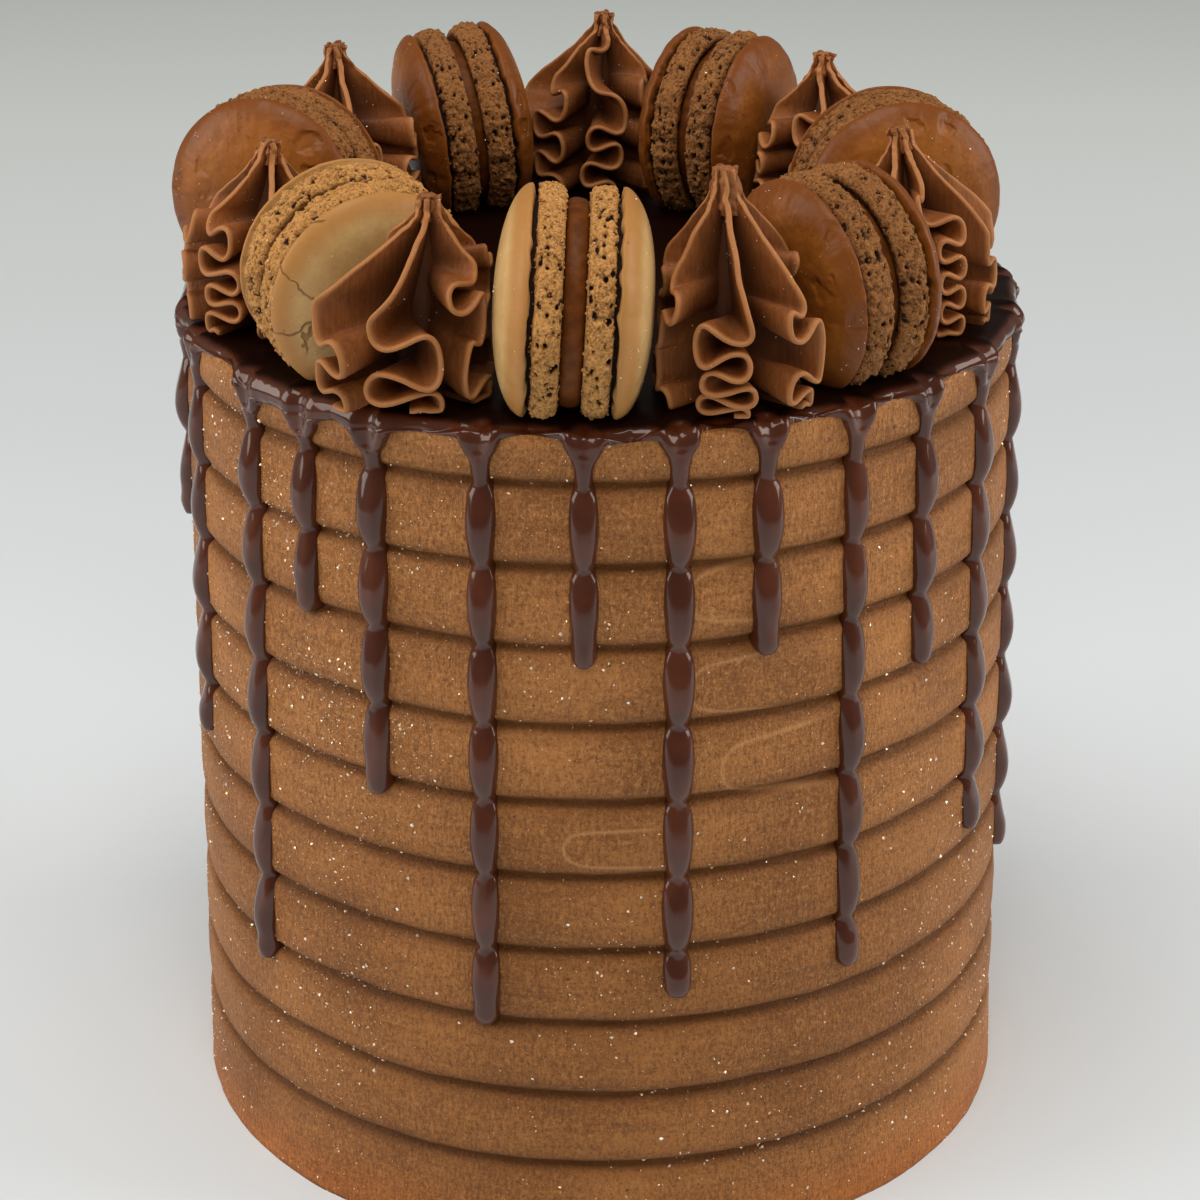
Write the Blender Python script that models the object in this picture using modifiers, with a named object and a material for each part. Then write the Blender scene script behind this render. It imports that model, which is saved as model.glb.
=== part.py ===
"""Layer cake: a tall cake in ribbed buttercream under poured chocolate that drips down its side.

Seven macarons stand on edge round the top and seven piped swirls stand between them.
Metres, +Z up, with the origin at the middle of the cake's underside and -Y as its front.
"""

import math
import random

import bmesh
import bpy
from mathutils import Matrix, Vector

OBJECT_NAME = "layer_cake"
MM = 0.001

# The cake and its buttercream
CAKE_HEIGHT = 165.0 * MM
RIM_RADIUS = 80.0 * MM
BASE_RADIUS = 82.7 * MM
RIM_ROUND = 1.5 * MM
GROOVE_COUNT = 10
FIRST_GROOVE_DROP = 9.5 * MM
BAND_PITCH = 15.22 * MM
GROOVE_DEPTH = 1.5 * MM
GROOVE_HALF_WIDTH = 2.2 * MM
CAKE_STEPS = 40
SHARP_ANGLE = 40.0
MERGE_DISTANCE = 0.05 * MM

# Clearance between pieces that touch
GAP = 0.3 * MM

# The poured chocolate on top
POOL_THICKNESS = 1.8 * MM
POOL_LIP = 3.0 * MM
POOL_BROW_INSET = 0.7 * MM
POOL_BROW_DROP = 0.5 * MM
POOL_EDGE_INSET = 0.1 * MM
POOL_STEPS = 40

# Drips: azimuth in degrees from the front towards +X, and length below the rim in millimetres
FRONT_DRIPS = (
    (-82, 42), (-70, 81), (-52, 119), (-41, 41), (-30, 73), (-15, 117), (-2, 43),
    (10, 110), (21.5, 43), (34.5, 111), (47, 54), (61.5, 97), (79, 113),
)
BACK_DRIP_COUNT = 12
BACK_LEFT_DRIP_LENGTH = 157.0 * MM
BACK_DRIP_LENGTHS = (38.0 * MM, 122.0 * MM)
BACK_DRIP_SEED = 11
DRIP_WIDTH = 5.0 * MM
DRIP_NECK_WIDTH = 3.5 * MM
DRIP_BLOB_WIDTH = 4.5 * MM
DRIP_END_WIDTH = 2.0 * MM
DRIP_THICKNESS = 2.3 * MM
DRIP_NECK_THICKNESS = 1.2 * MM
DRIP_END_THICKNESS = 1.0 * MM
DRIP_END_HEIGHT = 2.4 * MM
DRIP_CROWN_SHARE = 0.5
DRIP_BULGE_DROP = 0.36
DRIP_ROW_ROOM = 1.4
DRIP_CLEARANCE = 0.35 * MM
DRIP_START_HEIGHT = 0.7 * MM
DRIP_AZIMUTH_DRIFT = 1.5
# Where a drip leaves the pool: inset from the rim, drop from its start, tilt, thickness and width
FUNNEL_ROWS = (
    (6.0 * MM, 0.0, 90.0, 0.8 * MM, 6.9 * MM),
    (0.9 * MM, 0.0, 50.0, 1.3 * MM, 8.6 * MM),
    (-DRIP_CLEARANCE, 2.5 * MM, 8.0, 2.1 * MM, 7.6 * MM),
    (-DRIP_CLEARANCE, 6.2 * MM, 0.0, 2.3 * MM, 5.5 * MM),
)

# Macarons: ring radius and azimuth of the centre, then heading and lean of the axis, then diameter
MACARONS = (
    (65.6, -93.9, 0.0, -3.0, 41.2),
    (64.1, -49.3, -147.0, -4.0, 39.4),
    (56.9, 5.1, -80.0, 3.0, 38.6),
    (57.6, 64.5, -28.0, 0.0, 39.0),
    (62.7, 117.0, -165.0, -7.0, 39.0),
    (62.7, 172.5, -108.0, 4.0, 38.4),
    (63.5, -132.8, -64.0, -8.0, 39.0),
)
MACARON_SINK = 3.4 * MM
MACARON_STEPS = 16
TAN_MACARONS = (0, 6)
CUTTER_WIDTH = 300.0 * MM
CUTTER_DEPTH = 10.0 * MM
# Half outline of a macaron of nominal size, as (radius, distance from its middle plane)
MACARON_NOMINAL = 40.0
SHELL_OUTLINE = (
    (0.0, 13.6), (10.0, 12.7), (16.5, 10.5), (19.8, 7.8),
    (18.2, 6.95), (19.8, 4.5), (18.9, 1.95), (0.0, 1.95),
)
DOME_POINTS = 4
FILLING_OUTLINE = ((0.0, 1.65), (17.8, 1.65), (17.8, -1.65), (0.0, -1.65))

# Piped swirls: ring radius and azimuth of the foot, height, greatest radius, where that radius is
# reached on the way down, turn of the first fin from the front, and sideways lean of the tip
SWIRLS = (
    (69.2, -118.3, 35.0, 16.4, 0.45, 0.0, 3.7),
    (67.3, -69.8, 40.6, 16.4, 0.58, 0.0, -2.0),
    (63.1, -20.8, 36.2, 15.6, 0.50, 12.0, -4.2),
    (60.6, 39.0, 34.6, 16.0, 0.52, 31.0, -2.4),
    (64.5, 91.0, 36.6, 15.8, 0.50, 7.0, 2.0),
    (64.8, 143.5, 36.4, 16.0, 0.48, 22.0, -0.6),
    (66.0, -160.0, 34.0, 15.8, 0.52, 17.0, 2.0),
)
SWIRL_SEEDS = (8, 3, 12, 21, 34, 40, 27)
FIN_COUNT = 7
# Fins whose folds the photo shows: reach as a share of the swirl's own, then the turns of the fin's
# edge on its way down as (share of the way, millimetres sideways, height of the bend in millimetres)
SHOWN_FINS = (
    {
        0: (1.0, (
            (0.53, -8.5, 6.5), (0.73, 5.9, 9.0), (0.88, -8.4, 5.0), (0.95, 6.6, 4.5),
        )),
        1: (1.0, (
            (0.3, 1.3, 4.0), (0.42, -8.0, 4.5), (0.5, 0.8, 7.0), (0.83, -4.0, 8.0),
            (0.95, 5.0, 4.0),
        )),
        2: (1.0, (
            (0.26, 1.5, 3.0), (0.33, -2.0, 3.0), (0.42, 3.0, 5.0), (0.64, -5.0, 5.0),
            (0.86, 4.0, 4.0),
        )),
        6: (1.25, (
            (0.48, -3.0, 10.0), (0.74, 6.0, 3.0), (0.8, -1.5, 5.0), (0.96, 4.5, 3.0),
        )),
    },
    {
        0: (1.0, (
            (0.61, 3.6, 3.0), (0.67, -7.6, 8.5), (0.755, 2.8, 4.0), (0.85, -6.3, 3.6),
            (0.9, 3.9, 3.3), (0.945, -7.0, 3.4), (0.975, 2.5, 2.4),
        )),
        1: (1.1, (
            (0.52, -0.6, 3.0), (0.585, -5.8, 4.0), (0.73, 3.3, 11.0), (0.9, -5.0, 4.0),
            (0.95, 2.5, 3.0),
        )),
        2: (1.0, (
            (0.35, 0.0, 4.0), (0.42, -6.0, 3.0), (0.53, 5.0, 5.0), (0.7, -4.0, 5.0),
            (0.88, 4.0, 4.0),
        )),
        5: (1.0, (
            (0.38, -0.5, 5.0), (0.5, 6.0, 3.0), (0.65, -3.0, 5.0), (0.8, 4.0, 4.0),
            (0.92, -3.0, 3.0),
        )),
        6: (1.05, (
            (0.4, -0.5, 4.0), (0.54, 4.5, 3.0), (0.63, -3.0, 4.0), (0.86, -5.0, 5.0),
            (0.97, 0.5, 3.0),
        )),
    },
    {
        0: (1.0, (
            (0.25, 1.0, 4.0), (0.35, -1.6, 4.0), (0.45, 6.6, 4.0), (0.53, 0.4, 3.0),
            (0.63, 5.6, 3.4), (0.7, 0.2, 3.0), (0.78, 5.2, 3.0), (0.86, 0.2, 3.0),
            (0.94, 5.6, 3.0),
        )),
        1: (1.0, (
            (0.6, -1.0, 3.0), (0.72, 3.0, 4.0), (0.84, -3.0, 4.0), (0.94, 2.0, 3.0),
        )),
        2: (1.05, (
            (0.62, -1.9, 3.0), (0.74, 3.0, 4.0), (0.86, -3.0, 4.0), (0.95, 2.0, 3.0),
        )),
    },
    {
        0: (1.0, (
            (0.24, 2.6, 3.0), (0.36, -3.5, 5.0), (0.5, 4.5, 5.0), (0.64, -4.0, 5.0),
            (0.78, 4.0, 4.0), (0.9, -3.0, 3.0),
        )),
        5: (1.05, (
            (0.32, -4.6, 6.0), (0.44, 4.6, 4.0), (0.52, -4.0, 3.5), (0.6, 4.0, 3.5),
            (0.68, -4.0, 3.5), (0.77, 4.0, 3.5), (0.86, -4.0, 3.0), (0.95, 3.0, 3.0),
        )),
        6: (1.0, (
            (0.28, 2.0, 4.0), (0.38, -4.0, 5.0), (0.5, 4.5, 5.0), (0.6, -4.0, 4.0),
            (0.7, 4.0, 4.0), (0.8, -4.5, 4.0), (0.92, 3.0, 3.0),
        )),
    },
    {
        0: (1.0, (
            (0.14, 1.2, 2.0), (0.26, -4.0, 5.0), (0.52, 4.5, 5.0), (0.62, -4.0, 4.0),
            (0.73, 4.0, 4.0), (0.84, -5.0, 4.0), (0.94, 3.0, 3.0),
        )),
        1: (1.0, (
            (0.3, 3.0, 4.0), (0.42, -4.0, 5.0), (0.54, 4.5, 4.0), (0.66, -4.0, 4.0),
            (0.78, 4.0, 4.0), (0.9, -3.0, 3.0),
        )),
        6: (1.0, (
            (0.34, -3.4, 5.0), (0.46, 4.5, 5.0), (0.58, -4.0, 4.0), (0.7, 5.0, 5.0),
            (0.81, -3.5, 4.0), (0.92, 4.0, 3.0),
        )),
    },
    {
        0: (1.0, (
            (0.42, -2.0, 4.0), (0.56, 4.0, 5.0), (0.7, -4.0, 5.0), (0.83, 4.0, 4.0),
            (0.94, -2.0, 3.0),
        )),
        1: (1.0, (
            (0.38, 6.0, 7.0), (0.48, 0.0, 5.0), (0.57, 6.0, 4.0), (0.67, -4.0, 4.0),
            (0.79, 5.0, 4.0), (0.9, -4.0, 4.0),
        )),
    },
    {
        5: (1.0, (
            (0.34, -4.0, 5.0), (0.46, 4.0, 5.0), (0.57, -4.0, 4.0), (0.68, 4.0, 4.0),
            (0.8, -4.0, 4.0), (0.92, 3.0, 3.0),
        )),
        6: (1.0, (
            (0.37, -6.0, 6.0), (0.47, 3.5, 5.0), (0.58, -4.0, 4.0), (0.67, 6.0, 3.5),
            (0.76, -2.0, 3.5), (0.84, 6.0, 3.0), (0.93, -3.0, 3.0),
        )),
    },
)
# Limits of the random draws for the other fins
FOLD_STARTS = (0.30, 0.46)
STRAND_COUNTS = (4, 5, 6)
FOLD_REACHES = (3.8, 5.6)
STRAND_VARIATION = (0.75, 1.15)
FIN_SPREADS = (0.98, 1.10)
# How a swirl widens on its way down, and how its fins leave the straight and fold
TIP_PART = 0.06
FLARE_CURVE = 0.55
TUCK_START = 0.72
TUCK_DEPTH = 0.16
STRAIGHT_PART = 0.28
FIRST_SWING = 0.75
FIRST_SWING_POWER = 2.2
FOLD_EASING = 0.45
FOLD_ROUNDING = 0.55
LEAN_POWER = 1.5
STRAIGHT_ROWS = 4
FOLDED_ROWS = 18
FOLD_OVERHANG = 0.5
VALLEY_SHARE = 0.36
VALLEY_SHIFT = 0.3
TIP_RADIUS = 2.2 * MM
LEAST_FOLD_RADIUS = 5.0 * MM
PRESS_MARGIN = 1.1 * MM
PRESS_STEP = 0.25 * MM

# Colours as linear red, green and blue
BUTTERCREAM_COLOUR = (0.30, 0.135, 0.055)
CHOCOLATE_COLOUR = (0.045, 0.014, 0.009)
TAN_SHELL_COLOUR = (0.44, 0.25, 0.105)
BROWN_SHELL_COLOUR = (0.20, 0.072, 0.026)
FILLING_COLOUR = (0.095, 0.036, 0.013)
PIPED_CREAM_COLOUR = (0.165, 0.064, 0.026)


def clear_scene():
    """Remove every object that the scene holds."""
    for thing in list(bpy.data.objects):
        bpy.data.objects.remove(thing, do_unlink=True)


def make_collection(name):
    """Return a new collection under the scene's own."""
    collection = bpy.data.collections.new(name)
    bpy.context.scene.collection.children.link(collection)
    return collection


def make_material(name, colour, roughness):
    """Return a Principled material of one colour."""
    material = bpy.data.materials.new(name)
    material.use_nodes = True
    shader = material.node_tree.nodes["Principled BSDF"]
    shader.inputs["Base Color"].default_value = (*colour, 1.0)
    shader.inputs["Roughness"].default_value = roughness
    shader.inputs["Metallic"].default_value = 0.0
    material.diffuse_color = (*colour, 1.0)
    return material


def add_mesh(name, mesh, collection, material):
    """Return an object that shows a mesh, linked to a collection."""
    thing = bpy.data.objects.new(name, mesh)
    collection.objects.link(thing)
    if material is not None:
        mesh.materials.append(material)
    return thing


def turned(name, outline, steps, collection, material):
    """Return a solid turned about +Z from an outline of (radius, height), listed top to bottom."""
    mesh = bpy.data.meshes.new(name)
    points = [(radius, 0.0, height) for radius, height in outline]
    edges = [(index, index + 1) for index in range(len(points) - 1)]
    mesh.from_pydata(points, edges, [])
    thing = add_mesh(name, mesh, collection, material)
    screw = thing.modifiers.new("Turn", "SCREW")
    screw.steps = steps
    screw.render_steps = steps
    screw.use_merge_vertices = True
    screw.merge_threshold = MERGE_DISTANCE
    screw.use_smooth_shade = True
    return thing


def lofted(name, sections, collection, material):
    """Return a closed solid whose skin joins like rings of points, capped at both ends by a fan."""
    form = bmesh.new()
    rings = [[form.verts.new(point) for point in section] for section in sections]
    sides = len(rings[0])
    for upper, lower in zip(rings, rings[1:]):
        for index in range(sides):
            after = (index + 1) % sides
            form.faces.new((upper[index], upper[after], lower[after], lower[index]))
    for ring, order in ((rings[0], -1), (rings[-1], 1)):
        middle = form.verts.new(sum((vert.co for vert in ring), Vector()) / sides)
        for index in range(sides):
            after = (index + 1) % sides
            form.faces.new((ring[index], ring[after], middle)[::order])
    bmesh.ops.recalc_face_normals(form, faces=form.faces)
    mesh = bpy.data.meshes.new(name)
    form.to_mesh(mesh)
    form.free()
    mesh.shade_smooth()
    mesh.set_sharp_from_angle(angle=math.radians(SHARP_ANGLE))
    return add_mesh(name, mesh, collection, material)


def settle(thing):
    """Replace an object's mesh with its evaluated one, and drop its modifiers."""
    graph = bpy.context.evaluated_depsgraph_get()
    mesh = bpy.data.meshes.new_from_object(thing.evaluated_get(graph))
    thing.modifiers.clear()
    thing.data = mesh


def cut_with(thing, cutter):
    """Take a cutter away from an object."""
    cut = thing.modifiers.new("Cut", "BOOLEAN")
    cut.operation = "DIFFERENCE"
    cut.solver = "EXACT"
    cut.object = cutter


def crest_radius(height):
    """Return the radius of the bands' crests at a height: the cake widens a little towards its base."""
    return RIM_RADIUS + (BASE_RADIUS - RIM_RADIUS) * (1.0 - height / CAKE_HEIGHT)


def groove_heights():
    """Return the heights of the grooves, from the top down."""
    return [CAKE_HEIGHT - FIRST_GROOVE_DROP - BAND_PITCH * index for index in range(GROOVE_COUNT)]


def build_cake(collection, material):
    """Make the cake as one turned solid with a groove between each two bands."""
    outline = [
        (0.0, CAKE_HEIGHT),
        (RIM_RADIUS - RIM_ROUND, CAKE_HEIGHT),
        (RIM_RADIUS, CAKE_HEIGHT - RIM_ROUND),
    ]
    for height in groove_heights():
        upper = height + GROOVE_HALF_WIDTH
        lower = height - GROOVE_HALF_WIDTH
        outline.append((crest_radius(upper), upper))
        outline.append((crest_radius(height) - GROOVE_DEPTH, height))
        outline.append((crest_radius(lower), lower))
    outline.append((BASE_RADIUS, 0.0))
    outline.append((0.0, 0.0))
    return turned("cake", outline, CAKE_STEPS, collection, material)


def drip_list():
    """Return (azimuth from the front in degrees, length) of every drip round the cake."""
    drips = [(azimuth, length * MM) for azimuth, length in FRONT_DRIPS]
    draw = random.Random(BACK_DRIP_SEED)
    first = FRONT_DRIPS[-1][0]
    spread = 360.0 + FRONT_DRIPS[0][0] - first
    for index in range(BACK_DRIP_COUNT):
        azimuth = first + spread * (index + 1) / (BACK_DRIP_COUNT + 1)
        azimuth += draw.uniform(-DRIP_AZIMUTH_DRIFT, DRIP_AZIMUTH_DRIFT)
        length = draw.uniform(*BACK_DRIP_LENGTHS)
        drips.append((azimuth, length))
    drips[-2] = (drips[-2][0], BACK_LEFT_DRIP_LENGTH)
    return drips


def drip_back(height):
    """Return the radius of a drip's back at a height, just clear of the bands."""
    return crest_radius(height) + DRIP_CLEARANCE


def drip_stations(length):
    """Return a drip's rows from the pool down, as (back radius, height, tilt, thickness, width)."""
    start = CAKE_HEIGHT + DRIP_START_HEIGHT
    end = CAKE_HEIGHT - length
    lowest_row = end + DRIP_END_HEIGHT * DRIP_ROW_ROOM
    stations = [
        (RIM_RADIUS - inset, start - drop, tilt, thickness, width)
        for inset, drop, tilt, thickness, width in FUNNEL_ROWS
    ]
    for groove in groove_heights():
        if groove < lowest_row:
            break
        stations.append((drip_back(groove), groove, 0.0, DRIP_NECK_THICKNESS, DRIP_NECK_WIDTH))
        bulge = groove - BAND_PITCH * DRIP_BULGE_DROP
        if bulge > lowest_row:
            stations.append((drip_back(bulge), bulge, 0.0, DRIP_THICKNESS, DRIP_WIDTH))
    blob = end + DRIP_END_HEIGHT
    stations.append((drip_back(blob), blob, 0.0, DRIP_THICKNESS, DRIP_BLOB_WIDTH))
    stations.append((drip_back(end), end, 0.0, DRIP_END_THICKNESS, DRIP_END_WIDTH))
    return stations


def build_drip(index, azimuth, length, collection):
    """Make one drip as a loft of four-sided sections that follow the rim and then the bands."""
    turn = math.radians(azimuth - 90.0)
    outward = Vector((math.cos(turn), math.sin(turn), 0.0))
    sideways = Vector((-math.sin(turn), math.cos(turn), 0.0))
    sections = []
    for radius, height, tilt, thickness, width in drip_stations(length):
        back = outward * radius + Vector((0.0, 0.0, height))
        facing = outward * math.cos(math.radians(tilt)) + Vector((0.0, 0.0, math.sin(math.radians(tilt))))
        front = back + facing * thickness
        reach = sideways * (width / 2.0)
        crown = reach * DRIP_CROWN_SHARE
        sections.append((back - reach, front - crown, front + crown, back + reach))
    return lofted(f"drip_{index}", sections, collection, None)


def build_ganache(collection, helpers, material):
    """Make the poured chocolate: a pool with a soft lip, joined with its drips into one solid."""
    under = CAKE_HEIGHT + GAP
    top = CAKE_HEIGHT + POOL_THICKNESS + GAP
    outline = (
        (0.0, top),
        (RIM_RADIUS - POOL_LIP, top),
        (RIM_RADIUS - POOL_BROW_INSET, top - POOL_BROW_DROP),
        (RIM_RADIUS - POOL_EDGE_INSET, under),
        (0.0, under),
    )
    pool = turned("ganache", outline, POOL_STEPS, collection, material)
    settle(pool)
    drips = bpy.data.collections.new("drips")
    helpers.children.link(drips)
    for index, (azimuth, length) in enumerate(drip_list()):
        build_drip(index, azimuth, length, drips)
    join = pool.modifiers.new("Join drips", "BOOLEAN")
    join.operation = "UNION"
    join.solver = "EXACT"
    join.operand_type = "COLLECTION"
    join.collection = drips
    settle(pool)
    for drip in list(drips.objects):
        bpy.data.objects.remove(drip, do_unlink=True)
    bpy.data.collections.remove(drips)
    return pool


def macaron_frame(number):
    """Return the matrix that takes a macaron of nominal size from its own axes to its place."""
    ring_radius, azimuth, heading, lean, diameter = MACARONS[number]
    turn = math.radians(azimuth)
    top = CAKE_HEIGHT + GAP + POOL_THICKNESS
    centre = Vector((
        ring_radius * MM * math.cos(turn),
        ring_radius * MM * math.sin(turn),
        top + diameter * MM / 2.0 - MACARON_SINK,
    ))
    axis = Vector((
        math.cos(math.radians(lean)) * math.cos(math.radians(heading)),
        math.cos(math.radians(lean)) * math.sin(math.radians(heading)),
        math.sin(math.radians(lean)),
    ))
    rotation = axis.to_track_quat("Z", "Y").to_matrix().to_4x4()
    return Matrix.Translation(centre) @ rotation @ Matrix.Scale(diameter / MACARON_NOMINAL, 4)


def build_macaron(number, collection, cutter, shell_material, filling_material):
    """Make one macaron as two shells and a filling, cut flat where it presses on the pool."""
    frame = macaron_frame(number)
    upper = [(radius * MM, height * MM) for radius, height in SHELL_OUTLINE]
    lower = [(radius, -height) for radius, height in reversed(upper)]
    filling = [(radius * MM, height * MM) for radius, height in FILLING_OUTLINE]
    label = f"macaron_{number + 1}"
    pieces = (
        (f"{label}_shell_near", upper, shell_material),
        (f"{label}_filling", filling, filling_material),
        (f"{label}_shell_far", lower, shell_material),
    )
    for name, outline, material in pieces:
        piece = turned(name, outline, MACARON_STEPS, collection, material)
        piece.matrix_world = frame
        cut_with(piece, cutter)


def build_pool_cutter(helpers):
    """Make the block that stands for the pool and the clearance above it."""
    middle = CAKE_HEIGHT + 2.0 * GAP + POOL_THICKNESS - CUTTER_DEPTH / 2.0
    bpy.ops.mesh.primitive_cube_add(size=1.0, location=(0.0, 0.0, middle))
    block = bpy.context.object
    block.name = "pool_cutter"
    block.scale = (CUTTER_WIDTH, CUTTER_WIDTH, CUTTER_DEPTH)
    for owner in list(block.users_collection):
        owner.objects.unlink(block)
    helpers.objects.link(block)
    block.hide_render = True
    block.display_type = "WIRE"
    return block


def outline_reach(radius):
    """Return how far a nominal macaron reaches from its middle plane at a radius, in millimetres."""
    dome = SHELL_OUTLINE[:DOME_POINTS]
    for (inner, high), (outer, low) in zip(dome, dome[1:]):
        if radius <= outer:
            return high + (low - high) * (radius - inner) / (outer - inner)
    return 0.0


def inside_macaron(point, inverse, scale):
    """Tell whether a point lies in a macaron or within the margin that pressed cream keeps from it."""
    local = inverse @ point
    margin = PRESS_MARGIN / MM / scale
    across = math.hypot(local.x, local.y) / MM
    along = abs(local.z) / MM
    if across >= MACARON_NOMINAL / 2.0 + margin:
        return False
    return along < outline_reach(max(0.0, across - margin)) + margin


def swirl_envelope(share, shoulder):
    """Return a swirl's outer radius as a share of its greatest, from the tip at 0 to the foot at 1."""
    climb = min(1.0, max(0.0, (share - TIP_PART) / (shoulder - TIP_PART)))
    flare = FLARE_CURVE * climb * climb * (3.0 - 2.0 * climb) + (1.0 - FLARE_CURVE) * climb
    tuck = 1.0 - TUCK_DEPTH * max(0.0, (share - TUCK_START) / (1.0 - TUCK_START)) ** 2
    return flare * tuck


def drawn_turns(draw, height):
    """Return the turns of a fin that the photo doesn't show, drawn within the named limits."""
    start = draw.uniform(*FOLD_STARTS)
    strands = draw.choice(STRAND_COUNTS)
    reach = draw.uniform(*FOLD_REACHES)
    side = draw.choice((-1, 1))
    bend = FOLD_ROUNDING * (1.0 - start) * height / MM / strands
    turns = []
    for index in range(strands):
        travel = index / strands
        share = start + (1.0 - start) * (travel + FOLD_EASING * math.sin(math.pi * travel) / math.pi)
        swing = FIRST_SWING if index == 0 else draw.uniform(*STRAND_VARIATION)
        turns.append((share, side * reach * swing, bend))
        side = -side
    return tuple(turns)


def choose_fins(number, height):
    """Return each fin of a swirl as its spread and the turns of its edge, down to the foot."""
    draw = random.Random(SWIRL_SEEDS[number])
    shown = SHOWN_FINS[number]
    fins = []
    for index in range(FIN_COUNT):
        drawn = (draw.uniform(*FIN_SPREADS), drawn_turns(draw, height))
        spread, turns = shown.get(index, drawn)
        fins.append((spread, turns + ((1.0, 0.0, 0.0),)))
    return fins


def fin_edge(travel, turns):
    """Return a fin edge's share of the way down, its sideways shift and its rise, from tip to foot."""
    if travel < STRAIGHT_PART:
        share, sideways, _ = turns[0]
        part = travel / STRAIGHT_PART
        return share * part, sideways * part ** FIRST_SWING_POWER, 0.0
    folded = (travel - STRAIGHT_PART) / (1.0 - STRAIGHT_PART) * (len(turns) - 1)
    index = min(int(folded), len(turns) - 2)
    part = folded - index
    above, first, upper_bend = turns[index]
    below, second, lower_bend = turns[index + 1]
    share = above + (below - above) * part
    shift = first + (second - first) * (1.0 - math.cos(math.pi * part)) / 2.0
    bend = upper_bend if part < 0.5 else lower_bend
    return share, shift, -FOLD_OVERHANG * bend / 2.0 * math.sin(2.0 * math.pi * part)


def fin_reach(down, spread, radius, shoulder):
    """Return how far a fin reaches from its swirl's axis at a share of the way down."""
    flare = swirl_envelope(down, shoulder)
    return (TIP_RADIUS + (radius - TIP_RADIUS) * flare) * (1.0 + (spread - 1.0) * flare)


def build_swirl(number, presses, collection, material):
    """Make one piped swirl: fins round a core, straight from the tip and then folded like ribbon."""
    ring_radius, azimuth, height, radius, shoulder, fin_turn, lean = SWIRLS[number]
    fins = choose_fins(number, height * MM)
    turn = math.radians(azimuth)
    foot = Vector((
        ring_radius * MM * math.cos(turn),
        ring_radius * MM * math.sin(turn),
        CAKE_HEIGHT + 2.0 * GAP + POOL_THICKNESS,
    ))
    travels = [STRAIGHT_PART * row / STRAIGHT_ROWS for row in range(STRAIGHT_ROWS)]
    travels += [STRAIGHT_PART + (1.0 - STRAIGHT_PART) * row / FOLDED_ROWS for row in range(FOLDED_ROWS + 1)]
    sections = []
    for travel in travels:
        edges = [fin_edge(travel, turns) for _, turns in fins]
        section = []
        for index, (share, shift, rise) in enumerate(edges):
            following = (index + 1) % FIN_COUNT
            after = edges[following]
            spread = fins[index][0]
            valley_spread = (spread + fins[following][0]) / 2.0
            valley_shift = VALLEY_SHIFT * (shift + after[1]) / 2.0
            valley_rise = VALLEY_SHIFT * (rise + after[2]) / 2.0
            valley_share = (share + after[0]) / 2.0
            corners = (
                (index, share, shift, rise, spread, 1.0),
                (index + 0.5, valley_share, valley_shift, valley_rise, valley_spread, VALLEY_SHARE),
            )
            for place, down, sideways, up, spread_here, reach_share in corners:
                reach = fin_reach(down, spread_here, radius * MM, shoulder) * reach_share
                angle = math.radians(fin_turn - 90.0) + 2.0 * math.pi * place / FIN_COUNT
                angle += sideways * MM / max(reach, LEAST_FOLD_RADIUS)
                point = Vector((
                    foot.x + reach * math.cos(angle) + lean * MM * (1.0 - down) ** LEAN_POWER,
                    foot.y + reach * math.sin(angle),
                    max(foot.z, foot.z + height * MM * (1.0 - down) + up * MM),
                ))
                section.append(press_clear(point, foot, presses))
        sections.append(section)
    return lofted(f"swirl_{number + 1}", sections, collection, material)


def press_clear(point, foot, presses):
    """Return a point moved towards its swirl's middle until it is clear of every macaron."""
    inward = Vector((foot.x - point.x, foot.y - point.y, 0.0))
    if inward.length < PRESS_STEP:
        return point
    step = inward.normalized() * PRESS_STEP
    moved = point.copy()
    for _ in range(int(inward.length / PRESS_STEP)):
        if not any(inside_macaron(moved, inverse, scale) for inverse, scale in presses):
            break
        moved += step
    return moved


def main():
    """Build the whole cake."""
    clear_scene()
    parts = make_collection(OBJECT_NAME)
    helpers = make_collection("cutters")
    buttercream = make_material("buttercream", BUTTERCREAM_COLOUR, 0.75)
    chocolate = make_material("chocolate", CHOCOLATE_COLOUR, 0.18)
    tan_shell = make_material("tan_shell", TAN_SHELL_COLOUR, 0.5)
    brown_shell = make_material("brown_shell", BROWN_SHELL_COLOUR, 0.42)
    filling = make_material("filling", FILLING_COLOUR, 0.45)
    piped_cream = make_material("piped_cream", PIPED_CREAM_COLOUR, 0.6)

    build_cake(parts, buttercream)
    build_ganache(parts, helpers, chocolate)
    cutter = build_pool_cutter(helpers)
    for number in range(len(MACARONS)):
        shell = tan_shell if number in TAN_MACARONS else brown_shell
        build_macaron(number, parts, cutter, shell, filling)
    presses = [
        (macaron_frame(number).inverted(), MACARONS[number][4] / MACARON_NOMINAL)
        for number in range(len(MACARONS))
    ]
    for number in range(len(SWIRLS)):
        build_swirl(number, presses, parts, piped_cream)


main()
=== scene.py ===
"""Layer cake: the dressed model of a tall cake in ribbed buttercream, with its chocolate and toppings.

Every piece is built in the part's own frame: metres, +Z up, the origin at the middle of the cake's
underside and -Y as the front. Angles round the cake are counted from +X unless a name says otherwise.
"""

import logging
import math
import random
from dataclasses import dataclass, replace
from enum import Enum
from typing import Any, Optional, Sequence, Union

import bmesh
import bpy
import numpy as np
from mathutils import Matrix, Vector


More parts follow.
